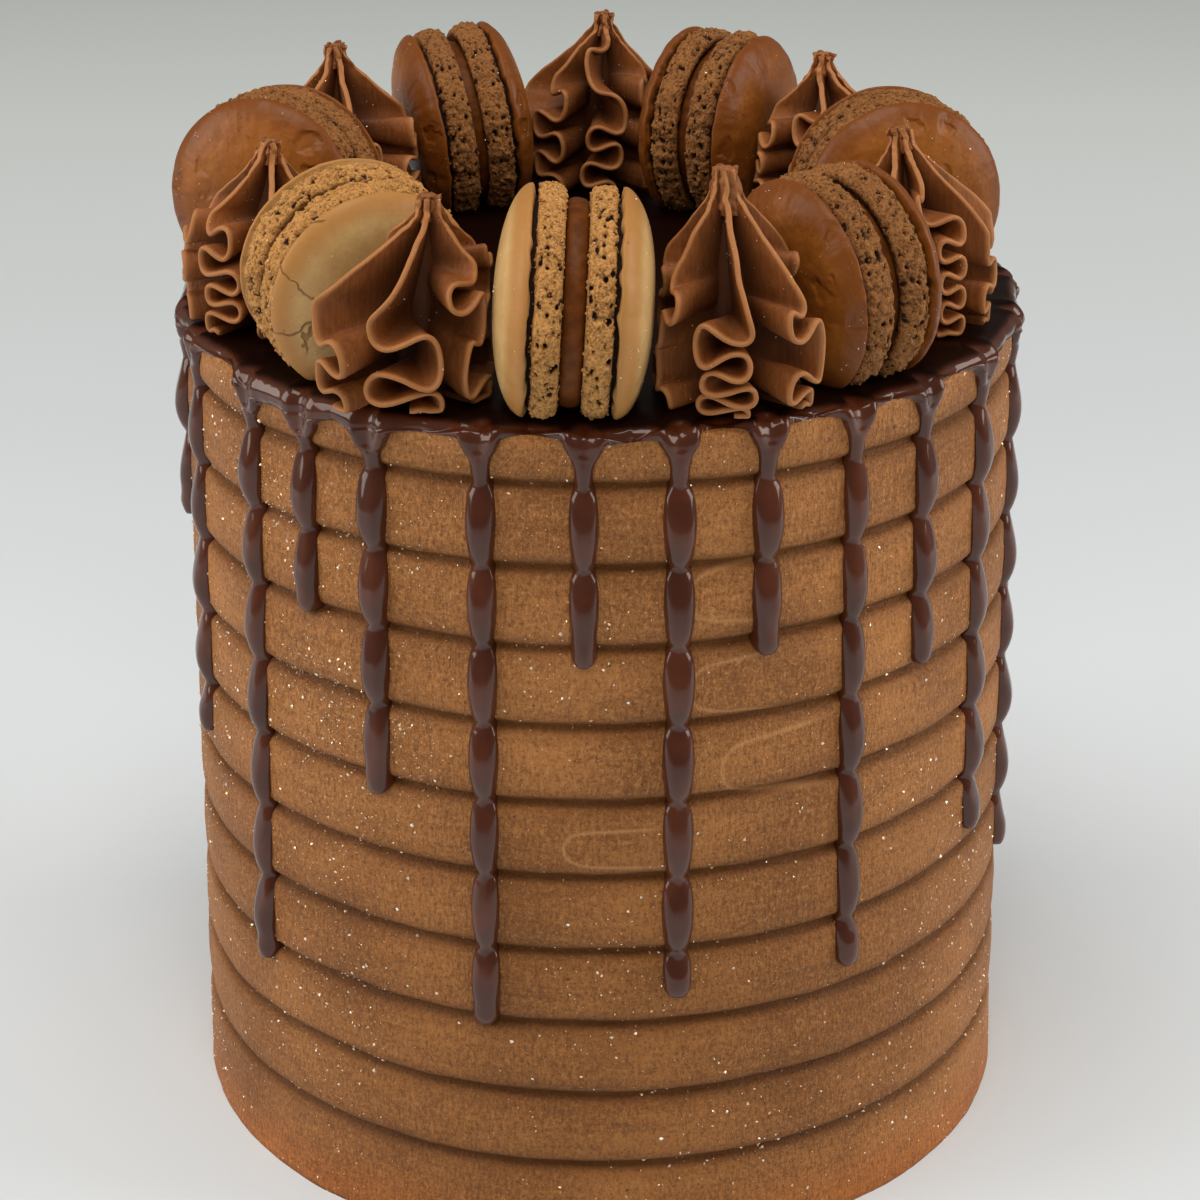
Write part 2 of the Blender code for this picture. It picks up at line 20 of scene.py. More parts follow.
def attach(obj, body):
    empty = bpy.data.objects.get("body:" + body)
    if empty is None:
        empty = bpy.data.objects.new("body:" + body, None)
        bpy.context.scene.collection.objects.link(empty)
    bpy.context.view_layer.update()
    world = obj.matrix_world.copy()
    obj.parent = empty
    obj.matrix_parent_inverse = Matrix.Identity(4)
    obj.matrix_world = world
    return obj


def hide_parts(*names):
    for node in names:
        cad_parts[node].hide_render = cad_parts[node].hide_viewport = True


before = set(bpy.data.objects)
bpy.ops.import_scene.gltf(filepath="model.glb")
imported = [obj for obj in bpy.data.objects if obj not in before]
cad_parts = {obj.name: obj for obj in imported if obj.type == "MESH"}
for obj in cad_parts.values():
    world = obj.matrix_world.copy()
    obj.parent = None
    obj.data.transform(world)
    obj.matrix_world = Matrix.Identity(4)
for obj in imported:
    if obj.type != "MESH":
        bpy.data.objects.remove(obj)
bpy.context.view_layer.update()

LOG = logging.getLogger("layer_cake")
MM = 0.001
FULL_TURN = 2.0 * math.pi
QUARTER_TURN = math.pi / 2.0
MACARON_SIZE = 40.0

Number = Union[int, float]
Colour = tuple[float, float, float]


# Arithmetic on node sockets


class Value:
    """A node's output socket that takes part in Python expressions."""

    def __init__(self, graph: "Graph", socket: bpy.types.NodeSocket) -> None:
        """Keep the socket and the graph that it belongs to."""
        self.graph = graph
        self.socket = socket

    def _math(self, operation: str, *operands: Any) -> "Value":
        """Return the result of one Math node."""
        return self.graph.node("ShaderNodeMath", {"operation": operation}, dict(enumerate(operands)))

    def __add__(self, other: Any) -> "Value":
        """Return the sum."""
        return self._math("ADD", self, other)

    __radd__ = __add__

    def __sub__(self, other: Any) -> "Value":
        """Return the difference."""
        return self._math("SUBTRACT", self, other)

    def __rsub__(self, other: Any) -> "Value":
        """Return the difference with this value taken away."""
        return self._math("SUBTRACT", other, self)

    def __mul__(self, other: Any) -> "Value":
        """Return the product."""
        return self._math("MULTIPLY", self, other)

    __rmul__ = __mul__

    def __truediv__(self, other: Any) -> "Value":
        """Return the quotient."""
        return self._math("DIVIDE", self, other)

    def __pow__(self, power: Any) -> "Value":
        """Return the power."""
        return self._math("POWER", self, power)

    def __neg__(self) -> "Value":
        """Return the negative."""
        return self._math("MULTIPLY", self, -1.0)

    def size(self) -> "Value":
        """Return the absolute value."""
        return self._math("ABSOLUTE", self)

    def sine(self) -> "Value":
        """Return the sine."""
        return self._math("SINE", self)

    def root(self) -> "Value":
        """Return the square root."""
        return self._math("SQRT", self)

    def turn_over(self, other: "Value") -> "Value":
        """Return the angle whose tangent is this value over the other."""
        return self._math("ARCTAN2", self, other)

    def nearest(self) -> "Value":
        """Return the nearest whole number."""
        return self._math("ROUND", self)

    def above(self, limit: Any) -> "Value":
        """Return 1 where the value is above the limit and 0 elsewhere."""
        return self._math("GREATER_THAN", self, limit)

    def at_least(self, limit: Any) -> "Value":
        """Return the larger of the value and the limit."""
        return self._math("MAXIMUM", self, limit)

    def at_most(self, limit: Any) -> "Value":
        """Return the smaller of the value and the limit."""
        return self._math("MINIMUM", self, limit)

    def ramp(self, low: Any, high: Any) -> "Value":
        """Return a smooth step from 0 at low to 1 at high."""
        sockets = {"Value": self, "From Min": low, "From Max": high}
        return self.graph.node("ShaderNodeMapRange", {"interpolation_type": "SMOOTHSTEP"}, sockets)

    def bell(self, middle: Any, width: Any) -> "Value":
        """Return a bump of height 1 at the middle that dies away over the width."""
        offset = (self - middle) / width
        return (-(offset * offset)).exponential()

    def exponential(self) -> "Value":
        """Return e to the power of the value."""
        return self._math("EXPONENT", self)


class Graph:
    """A node tree that is built from Python."""

    def __init__(self, tree: bpy.types.NodeTree) -> None:
        """Keep the tree."""
        self.tree = tree

    def node(
        self,
        kind: str,
        settings: Optional[dict[str, Any]] = None,
        sockets: Optional[dict[Any, Any]] = None,
        output: Union[int, str] = 0,
    ) -> Value:
        """Add one node.

        Args:
            kind: The node's type.
            settings: Its properties.
            sockets: Values or links of its inputs, by name or number.
            output: The output that is wanted.

        Returns:
            That output as a value.
        """
        made = self.tree.nodes.new(kind)
        for name, setting in (settings or {}).items():
            setattr(made, name, setting)
        for key, given in (sockets or {}).items():
            self.feed(made.inputs[key], given)
        return Value(self, made.outputs[output])

    def feed(self, socket: bpy.types.NodeSocket, given: Any) -> None:
        """Link a value to an input, or set the input to a plain number, vector or colour."""
        if isinstance(given, Value):
            self.tree.links.new(given.socket, socket)
        elif socket.type == "RGBA" and len(given) == 3:
            socket.default_value = (*given, 1.0)
        else:
            socket.default_value = given

    def split(self, vector: Value) -> tuple[Value, Value, Value]:
        """Return the three parts of a vector."""
        first = self.node("ShaderNodeSeparateXYZ", None, {0: vector})
        outputs = first.socket.node.outputs
        return first, Value(self, outputs[1]), Value(self, outputs[2])

    def join(self, x: Any, y: Any, z: Any) -> Value:
        """Return a vector of three parts."""
        return self.node("ShaderNodeCombineXYZ", None, {0: x, 1: y, 2: z})

    def noise(self, vector: Value, scale: Any, detail: float = 2.0, roughness: float = 0.5) -> Value:
        """Return smooth noise between 0 and 1."""
        sockets = {"Vector": vector, "Scale": scale, "Detail": detail, "Roughness": roughness}
        return self.node("ShaderNodeTexNoise", None, sockets)


class Surface(Graph):
    """The node tree of one material."""

    def __init__(self, name: str) -> None:
        """Start a material with a Principled shader."""
        self.material = bpy.data.materials.new(name)
        self.material.use_nodes = True
        super().__init__(self.material.node_tree)
        self.shader = self.tree.nodes["Principled BSDF"]

    def place(self) -> Value:
        """Return the position in the part's frame, in metres."""
        return self.node("ShaderNodeTexCoord", output="Object")

    def attribute(self, name: str) -> Value:
        """Return a number that the mesh carries."""
        return self.node("ShaderNodeAttribute", {"attribute_name": name}, output="Fac")

    def mix(self, first: Any, second: Any, share: Any, blend: str = "MIX") -> Value:
        """Return a colour between two colours."""
        settings = {"data_type": "RGBA", "blend_type": blend, "clamp_factor": True}
        return self.node("ShaderNodeMix", settings, {0: share, 6: first, 7: second}, output=2)

    def stretch(self, vector: Value, scale: tuple[float, float, float]) -> Value:
        """Return a vector scaled along each axis."""
        return self.node("ShaderNodeVectorMath", {"operation": "MULTIPLY"}, {0: vector, 1: scale})

    def cells(self, vector: Value, scale: float, feature: str = "F1") -> tuple[Value, Value]:
        """Return the distance in a cell pattern and a random number for each cell."""
        sockets = {"Vector": vector, "Scale": scale}
        distance = self.node("ShaderNodeTexVoronoi", {"feature": feature}, sockets, output="Distance")
        if feature == "DISTANCE_TO_EDGE":
            return distance, distance
        colour = Value(self, distance.socket.node.outputs["Color"])
        return distance, self.split(colour)[0]

    def holes(self, vector: Value, scale: float, radius: float, share: float) -> Value:
        """Return 1 in round holes: one in a share of the cells, with a radius in cell widths."""
        distance, lot = self.cells(vector, scale)
        return (1.0 - distance.ramp(radius * 0.45, radius)) * lot.above(1.0 - share)

    def shaken(self, vector: Value, scale: float, reach: float) -> Value:
        """Return a vector moved unevenly by up to about a reach, which makes a pattern irregular."""
        shift = (self.noise(vector, scale) - 0.5) * (2.0 * reach)
        moved = self.join(shift, -shift, shift)
        return self.node("ShaderNodeVectorMath", {"operation": "ADD"}, {0: vector, 1: moved})

    def bump(self, height: Value, depth: float) -> None:
        """Give the shader a relief: a height from 0 to 1 that stands for a depth in metres."""
        sockets = {"Height": height, "Distance": depth, "Strength": 1.0}
        self.feed(self.shader.inputs["Normal"], self.node("ShaderNodeBump", None, sockets))

    def dress(self, **values: Any) -> bpy.types.Material:
        """Set the shader's sockets by name, with _ for a space, and return the material."""
        for name, given in values.items():
            self.feed(self.shader.inputs[name.replace("_", " ")], given)
        return self.material


class Geometry(Graph):
    """A Geometry Nodes tree with named inputs."""

    def __init__(self, name: str, inputs: dict[str, Number]) -> None:
        """Start a tree whose inputs are a geometry and named numbers."""
        super().__init__(bpy.data.node_groups.new(name, "GeometryNodeTree"))
        face = self.tree.interface
        face.new_socket(name="Geometry", in_out="INPUT", socket_type="NodeSocketGeometry")
        for label, number in inputs.items():
            kind = "NodeSocketInt" if isinstance(number, int) else "NodeSocketFloat"
            face.new_socket(name=label, in_out="INPUT", socket_type=kind)
        face.new_socket(name="Geometry", in_out="OUTPUT", socket_type="NodeSocketGeometry")
        self.entry = self.tree.nodes.new("NodeGroupInput")
        self.inputs = inputs

    def given(self, name: str) -> Value:
        """Return one of the tree's inputs."""
        return Value(self, self.entry.outputs[name])

    def lot(self, low: Any, high: Any) -> Value:
        """Return a random number between two limits, drawn by the tree's seed."""
        limits = {2: low, 3: high, "Seed": self.given("Seed")}
        return self.node("FunctionNodeRandomValue", {"data_type": "FLOAT"}, limits, output=1)

    def scatter(self, shape: Value, density: Value, size: Value, squash: Sequence[float]) -> Value:
        """Set a shape out over the tree's geometry, turned at random.

        Args:
            shape: The shape, one unit in radius.
            density: How many there are to a square metre.
            size: The radius of each, in metres.
            squash: The share of the radius that each axis keeps.

        Returns:
            The instances.
        """
        spread = {"Mesh": self.given("Geometry"), "Density": density, "Seed": self.given("Seed")}
        points = self.node("GeometryNodeDistributePointsOnFaces", None, spread)
        limits = {0: (0.0, 0.0, 0.0), 1: (6.3, 6.3, 6.3)}
        spin = self.node("FunctionNodeRandomValue", {"data_type": "FLOAT_VECTOR"}, limits)
        scale = self.join(*(size * part for part in squash))
        set_out = {"Points": points, "Instance": shape, "Rotation": spin, "Scale": scale}
        return self.node("GeometryNodeInstanceOnPoints", None, set_out)

    def close(self, geometry: Value, material: bpy.types.Material) -> None:
        """End the tree: make instances real, set the material and hand the geometry out."""
        real = self.node("GeometryNodeRealizeInstances", None, {0: geometry})
        dressed = self.node("GeometryNodeSetMaterial", None, {"Geometry": real, "Material": material})
        self.tree.links.new(dressed.socket, self.tree.nodes.new("NodeGroupOutput").inputs[0])

    def run(self, base: bpy.types.Object, name: str) -> bpy.types.Object:
        """Evaluate the tree on an object.

        Args:
            base: The object whose mesh goes in; it is kept as it is.
            name: The name of the new object.

        Returns:
            A new object with the result as a plain mesh.
        """
        modifier = base.modifiers.new(name, "NODES")
        modifier.node_group = self.tree
        for item in self.tree.interface.items_tree:
            if item.in_out == "INPUT" and item.name in self.inputs:
                modifier[item.identifier] = self.inputs[item.name]
        graph = bpy.context.evaluated_depsgraph_get()
        mesh = bpy.data.meshes.new_from_object(base.evaluated_get(graph))
        base.modifiers.remove(modifier)
        mesh.name = name
        made = bpy.data.objects.new(name, mesh)
        bpy.context.scene.collection.objects.link(made)
        return made


# Numbers and meshes


def smooth_step(low: Number, high: Number, values: Any) -> Any:
    """Return a smooth step from 0 at low to 1 at high."""
    share = np.clip((np.asarray(values, float) - low) / (high - low), 0.0, 1.0)
    return share * share * (3.0 - 2.0 * share)


class Noise:
    """Seeded noise on points, the same on each run."""

    def __init__(self, seed: int) -> None:
        """Draw the table of random numbers."""
        self.table = np.random.default_rng(seed).random((4, 64, 64, 64))

    def smooth(self, points: np.ndarray, layer: int = 0) -> np.ndarray:
        """Return smooth noise from -1 to 1 at points whose unit is one cell."""
        base = np.floor(points).astype(int)
        share = points - base
        share = share * share * (3.0 - 2.0 * share)
        total = np.zeros(len(points))
        for corner in range(8):
            step = np.array([corner & 1, corner >> 1 & 1, corner >> 2 & 1])
            cell = (base + step) % 64
            weight = np.where(step, share, 1.0 - share).prod(axis=1)
            total += weight * self.table[layer, cell[:, 0], cell[:, 1], cell[:, 2]]
        return total * 2.0 - 1.0

    def layered(self, points: np.ndarray, layers: int = 3) -> np.ndarray:
        """Return noise with finer layers added, from about -1 to 1."""
        total = np.zeros(len(points))
        for layer in range(layers):
            total += self.smooth(points * 2.0**layer + 17.3 * layer, layer % 4) / 2.0**layer
        return total / 1.5

    def lumps(self, points: np.ndarray) -> np.ndarray:
        """Return the distance to the nearest of one random point a cell."""
        base = np.floor(points).astype(int)
        nearest = np.full(len(points), 9.0)
        for corner in range(27):
            step = np.array([corner % 3 - 1, corner // 3 % 3 - 1, corner // 9 - 1])
            cell = (base + step) % 64
            seat = self.table[:3, cell[:, 0], cell[:, 1], cell[:, 2]].T
            gap = base + step + seat - points
            nearest = np.minimum(nearest, np.sqrt((gap * gap).sum(axis=1)))
        return nearest


def strips(rows: int, columns: int, start: int = 0, closed: bool = False) -> list[tuple[int, ...]]:
    """Return the quads of a grid of points.

    Args:
        rows: The number of rows of points.
        columns: The number of points in a row.
        start: The first point's number.
        closed: Whether each row is a ring.

    Returns:
        The faces as tuples of point numbers.
    """
    faces = []
    for row in range(rows - 1):
        for column in range(columns if closed else columns - 1):
            here = start + row * columns + column
            after = start + row * columns + (column + 1) % columns
            faces.append((here, after, after + columns, here + columns))
    return faces


def ring_turns(steps: int) -> np.ndarray:
    """Return evenly spaced angles round a ring."""
    return np.arange(steps) * FULL_TURN / steps


def ring_points(turns: np.ndarray, reach: Any, rise: Any) -> np.ndarray:
    """Return points about the Z axis from their angles, radii and heights."""
    return np.stack([np.cos(turns) * reach, np.sin(turns) * reach, rise + turns * 0.0], axis=1)


def closed_column(rows: int, steps: int) -> list[tuple[int, ...]]:
    """Return the faces of stacked rings, closed by fans about two end points that come last."""
    faces = strips(rows, steps, 0, True)
    count = rows * steps
    for here in range(steps):
        after = (here + 1) % steps
        faces.append((count, after, here))
        faces.append((count + 1, count - steps + here, count - steps + after))
    return faces


def make_object(
    name: str,
    points: Any,
    faces: Sequence[Sequence[int]],
    material: Optional[bpy.types.Material] = None,
    marks: Optional[dict[str, np.ndarray]] = None,
    tidy: bool = True,
) -> bpy.types.Object:
    """Make a smooth mesh object.

    Args:
        name: The name of the object and its mesh.
        points: The points, in metres.
        faces: The faces as point numbers.
        material: Its material.
        marks: Numbers for each point, which materials read by name.
        tidy: Whether to turn its faces outwards.

    Returns:
        The object, linked to the scene.
    """
    mesh = bpy.data.meshes.new(name)
    mesh.from_pydata(np.asarray(points, float).tolist(), [], faces)
    for label, numbers in (marks or {}).items():
        layer = mesh.attributes.new(label, "FLOAT", "POINT")
        layer.data.foreach_set("value", np.asarray(numbers, np.float32))
    if tidy:
        form = bmesh.new()
        form.from_mesh(mesh)
        bmesh.ops.recalc_face_normals(form, faces=form.faces)
        form.to_mesh(mesh)
        form.free()
    mesh.shade_smooth()
    if material is not None:
        mesh.materials.append(material)
    made = bpy.data.objects.new(name, mesh)
    bpy.context.scene.collection.objects.link(made)
    return made


def settle(thing: bpy.types.Object) -> None:
    """Apply an object's modifiers to its mesh."""
    graph = bpy.context.evaluated_depsgraph_get()
    mesh = bpy.data.meshes.new_from_object(thing.evaluated_get(graph))
    thing.modifiers.clear()
    thing.data = mesh


def weld(things: Sequence[bpy.types.Object]) -> bpy.types.Object:
    """Join several objects into the first one."""
    active = {"active_object": things[0], "selected_editable_objects": list(things)}
    with bpy.context.temp_override(**active):
        bpy.ops.object.join()
    return things[0]


def hand_over(thing: bpy.types.Object, slot: Optional[str], *nodes: str) -> None:
    """Tie a finished piece to the part: its body and the nodes it stands for."""
    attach(thing, "root")
    if nodes:
        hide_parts(*nodes)
    LOG.info("%s: %d faces", thing.name, len(thing.data.polygons))


class Slot(Enum):
    """The record's material slots."""

    BUTTERCREAM = "buttercream"
    CHOCOLATE = "chocolate"
    TAN_SHELL = "tan_shell"
    BROWN_SHELL = "brown_shell"
    FILLING = "filling"
    PIPED_CREAM = "piped_cream"


# Finishes


@dataclass(frozen=True)
class ScraperMark:
    """The rounded end that a scraper leaves in the buttercream, drawn only as a painted highlight along its
    outline.
    """

    azimuth: float
    height: float
    length: float
    half_height: float
    widening: float = 0.5


@dataclass(frozen=True)
class ButtercreamFinish:
    """Matt chocolate buttercream with a fine grain, pores and faint strokes, with painted shade in the
    pores, in and beside the grooves and on the lower front, and a painted highlight along the scraper
    marks.
    """

    pale: Colour = (0.475, 0.198, 0.056)
    deep: Colour = (0.225, 0.084, 0.019)
    # groove: the colour of dark flecks in the grain, and of painted shade in and beside the grooves.
    groove: Colour = (0.120, 0.040, 0.006)
    pore_shade: Colour = (0.075, 0.026, 0.008)
    # ridge: the colour of pale flecks in the grain, and of the painted highlight along the scraper marks.
    ridge: Colour = (0.580, 0.290, 0.110)
    # low: painted shade that darkens the lower side, most where x is near 0; base: painted warm light,
    # redder and less blue in the lowest 16 mm.
    low: Colour = (0.77, 0.73, 0.60)
    base: Colour = (1.16, 0.95, 0.70)
    shade_side_fade: float = 150.0
    radius: float = 0.0815
    marks: tuple[ScraperMark, ...] = (
        ScraperMark(-78.7, 0.1344, 0.020, 0.0042),
        ScraperMark(-78.6, 0.1167, 0.022, 0.0042),
        ScraperMark(-74.3, 0.1002, 0.026, 0.0048),
        ScraperMark(-94.7, 0.0858, 0.024, 0.0034, 0.2),
    )

    def material(self) -> bpy.types.Material:
        """Build the material."""
        made = Surface("buttercream_finish")
        place = made.place()
        x, y, z = made.split(place)
        broad = made.noise(place, 38.0, 1.0)
        stroke = made.noise(made.stretch(place, (60.0, 60.0, 900.0)), 1.0, 2.0, 0.6)
        grain = made.noise(made.stretch(place, (1700.0, 1700.0, 420.0)), 1.0, 2.0, 0.7)
        fine = made.noise(place, 3000.0, 2.0, 0.6)
        uneven = made.shaken(place, 900.0, 0.0007)
        pores = made.holes(uneven, 190.0, 0.085, 0.12)
        pores = pores.at_least(made.holes(uneven, 520.0, 0.14, 0.12))
        tone = (broad * 0.45 + stroke * 0.2 + grain * 0.45 + fine * 0.50).ramp(0.62, 0.98)
        fleck = made.noise(place, 1300.0, 2.0, 0.75)
        colour = made.mix(self.deep, self.pale, tone)
        colour = made.mix(colour, self.ridge, fleck.ramp(0.54, 0.70) * 0.55)
        colour = made.mix(colour, self.groove, (1.0 - fleck.ramp(0.34, 0.46)) * 0.50)
        # Painted shade in and beside the grooves, from the body's shade and groove marks.
        colour = made.mix(colour, self.groove, made.attribute("shade") * 0.40)
        colour = made.mix(colour, self.groove, made.attribute("groove") * 0.75)
        # Painted shade in the pores: dark dots with no relief.
        colour = made.mix(colour, self.pore_shade, pores * 0.8)
        # Painted shade: darker towards the bottom, fading out towards the sides at plus and minus X; the
        # lowest 16 mm gets a painted warm light.
        front_shade_share = 1.0 - (x * x * self.shade_side_fade).at_most(0.85)
        colour = made.mix(colour, self.low, (1.0 - z.ramp(0.045, 0.125)) * front_shade_share, "MULTIPLY")
        colour = made.mix(colour, self.base, 1.0 - z.ramp(0.0, 0.016), "MULTIPLY")
        # Painted highlight along the scraper marks' outlines, with no relief.
        ridge = self._marks(made, x, y, z)
        colour = made.mix(colour, self.ridge, ridge * 0.50)
        made.bump(grain * 0.40 + fleck * 0.34, 0.0009)
        return made.dress(Base_Color=colour, Roughness=0.48 + grain * 0.2, Specular_IOR_Level=0.30)

    def _marks(self, made: Surface, x: Value, y: Value, z: Value) -> Value:
        """Return 1 along the thin outlines of the scraper's ends, where the finish paints a highlight."""
        turn = y.turn_over(x)
        total = None
        for mark in self.marks:
            along = (turn - math.radians(mark.azimuth)) * (self.radius / mark.length)
            across = (z - mark.height) / ((along * mark.widening + 1.0) * mark.half_height)
            inside = (1.0 - along * 2.0).at_least(0.0)
            outline = (across * across + (inside**6.0)).root()
            line = outline.bell(1.0, 0.085) * along.ramp(-0.2, 0.0) * (1.0 - along.ramp(0.55, 1.0))
            total = line if total is None else total.at_least(line)
        return total


@dataclass(frozen=True)
class ChocolateFinish:
    """Dark poured chocolate with a wet gloss, and painted shade that darkens the pool on top."""

    dark: Colour = (0.058, 0.0120, 0.0034)
    warm: Colour = (0.088, 0.0210, 0.0066)
    # pool: painted shade over the pool on top.
    pool: Colour = (0.007, 0.0012, 0.0002)
    pool_radius: float = 0.0775
    pool_level: float = 0.1658
    rim_level: float = 0.1600

    def material(self) -> bpy.types.Material:
        """Build the material."""
        made = Surface("poured_chocolate_finish")
        place = made.place()
        broad = made.noise(place, 110.0, 2.0)
        fine = made.noise(place, 300.0, 2.0)
        made.bump(broad * 0.7 + fine * 0.12, 0.0004)
        colour = made.mix(self.dark, self.warm, broad.ramp(0.35, 0.7))
        x, y, z = made.split(place)
        # Painted shade: the pool inside the rim and above the pool's level is darkened towards the pool
        # colour.
        inside = 1.0 - (x * x + y * y).root().ramp(self.pool_radius - 3.0 * MM, self.pool_radius)
        raised = z.ramp(self.pool_level, self.pool_level + 0.8 * MM)
        pool = inside.at_least(raised) * z.ramp(self.rim_level, self.rim_level + MM)
        colour = made.mix(colour, self.pool, pool)
        return made.dress(
            Base_Color=colour,
            Roughness=0.40 + fine * 0.08,
            Specular_IOR_Level=0.10,
            Coat_Weight=1.0 - pool * 0.95,
            Coat_Roughness=0.08,
            Coat_IOR=1.45,
        )


@dataclass(frozen=True)
class ShellFinish:
    """A macaron shell: a satin dome, and a foot of baked crumb with dark holes; the holes, the foot's
    pushed-in places, the crevice under the dome, and the dome's pits and cracks are darkened by painted
    shade.
    """

    name: str
    pale: Colour
    deep: Colour
    rim: Colour
    crumb: Colour
    crumb_deep: Colour
    recess_shade: Colour = (0.030, 0.012, 0.007)
    gloss: float = 0.42
    shaded_pits: float = 0.08
    dents: float = 0.0
    cracks: bool = False

    def material(self) -> bpy.types.Material:
        """Build the material."""
        made = Surface(self.name)
        place = made.place()
        foot = made.attribute("foot").ramp(0.35, 0.65)
        depth = made.attribute("depth")
        edge = made.attribute("edge")
        broad = made.noise(place, 75.0, 3.0)
        middle = made.noise(place, 330.0, 3.0, 0.6)
        fine = made.noise(place, 1300.0, 3.0, 0.6)
        # Painted shade in the dome's pits: dark dots with no relief.
        shaded_pits = made.holes(place, 620.0, 0.20, self.shaded_pits)
        dome = made.mix(self.deep, self.pale, (broad * 0.7 + middle * 0.35 + fine * 0.30).ramp(0.48, 0.90))
        dome = made.mix(dome, self.rim, edge.ramp(0.35, 1.0) * (0.55 + broad * 0.5))
        dome = made.mix(dome, self.crumb_deep, shaded_pits * 0.7)
        relief = broad * 0.5 + fine * 0.10
        if self.dents:
            dents = made.holes(made.shaken(place, 220.0, 0.003), 150.0, 0.42, self.dents)
            relief = relief - dents * 0.9 + made.noise(place, 260.0, 2.0) * 0.8
        if self.cracks:
            line = self._cracks(made, made.shaken(place, 420.0, 0.0009))
            # Painted shade along the cracks, which also have a shallow relief.
            dome = made.mix(dome, self.crumb_deep, line * 0.7)
            relief = relief - line * 0.5
        grain = made.noise(place, 1900.0, 3.0, 0.7)
        crust = made.mix(self.crumb_deep, self.crumb, (grain * 0.9 + broad * 0.2).ramp(0.30, 0.68))
        # Painted shade in the foot's holes: dark specks with no relief.
        shaded_holes = made.holes(made.shaken(place, 900.0, 0.0007), 700.0, 0.30, 0.34)
        crust = made.mix(crust, self.recess_shade, shaded_holes * 0.60)
        # Painted shade in the foot's pushed-in places and in the crevice under the dome, from the depth
        # mark.
        crust = made.mix(crust, self.recess_shade, depth.ramp(0.22, 0.66))
        colour = made.mix(dome, crust, foot)
        rough = self.gloss * (1.0 - foot) + foot * 0.72 + fine * 0.12
        made.bump(relief * (1.0 - foot) + foot * grain * 0.9, 0.0005)
        return made.dress(Base_Color=colour, Roughness=rough, Specular_IOR_Level=0.24)

    def _cracks(self, made: Surface, place: Value) -> Value:
        """Return 1 along a few fine cracks."""
        edge, _ = made.cells(place, 70.0, "DISTANCE_TO_EDGE")
        where = made.noise(place, 60.0, 1.0).ramp(0.52, 0.60)
        return (1.0 - edge.ramp(0.004, 0.018)) * where


@dataclass(frozen=True)
class FillingFinish:
    """The chocolate filling between two shells."""

    pale: Colour = (0.162, 0.047, 0.007)
    deep: Colour = (0.098, 0.027, 0.004)

    def material(self) -> bpy.types.Material:
        """Build the material."""
        made = Surface("filling_finish")
        place = made.place()
        tone = made.noise(place, 420.0, 3.0)
        made.bump(tone, 0.0003)
        colour = made.mix(self.deep, self.pale, tone.ramp(0.3, 0.7))
        return made.dress(Base_Color=colour, Roughness=0.50, Specular_IOR_Level=0.16)


@dataclass(frozen=True)
class PipedFinish:
    """Piped chocolate cream: satin and finely streaked, with painted shade in the valleys between the fins
    and in the pores, and a painted highlight that makes it paler along the fins' edges.
    """

    pale: Colour = (0.315, 0.106, 0.028)
    deep: Colour = (0.165, 0.051, 0.012)
    # edge: painted highlight along the fins' edges; the valley colour below is painted shade at their
    # roots.
    edge: Colour = (0.500, 0.220, 0.075)
    valley_shade: Colour = (0.060, 0.017, 0.004)
    pore_shade: Colour = (0.030, 0.011, 0.005)

    def material(self) -> bpy.types.Material:
        """Build the material."""
        made = Surface("piped_cream_finish")
        place = made.place()
        broad = made.noise(place, 120.0, 3.0)
        streak = made.noise(made.stretch(place, (1700.0, 1700.0, 260.0)), 1.0, 3.0, 0.6)
        fine = made.noise(place, 2200.0, 2.0, 0.6)
        pores = made.holes(place, 480.0, 0.13, 0.10)
        colour = made.mix(self.deep, self.pale, (broad * 0.6 + streak * 0.5).ramp(0.35, 0.75))
        # Painted shade towards the fins' roots and the core, and a painted highlight along the fins' edges
        # and the tip.
        reach = made.attribute("edge")
        colour = made.mix(self.valley_shade, colour, reach.ramp(0.15, 0.88))
        colour = made.mix(colour, self.edge, reach.ramp(0.90, 1.0) * 0.60)
        # Painted shade in the pores: dark dots with no relief.
        colour = made.mix(colour, self.pore_shade, pores * 0.8)
        made.bump(streak * 0.25 + fine * 0.14 + broad * 0.4, 0.0005)
        return made.dress(Base_Color=colour, Roughness=0.50 + fine * 0.12, Specular_IOR_Level=0.30)


@dataclass(frozen=True)
class GlitterFinish:
    """Pale gold edible glitter."""

    colour: Colour = (0.97, 0.88, 0.74)
    warm: Colour = (0.98, 0.70, 0.42)

    def material(self) -> bpy.types.Material:
        """Build the material."""
        made = Surface("glitter_finish")
        tone = made.noise(made.place(), 700.0, 0.0)
        colour = made.mix(self.colour, self.warm, tone.ramp(0.45, 0.6))
        return made.dress(Base_Color=colour, Roughness=0.32, Metallic=0.6)


# The cake


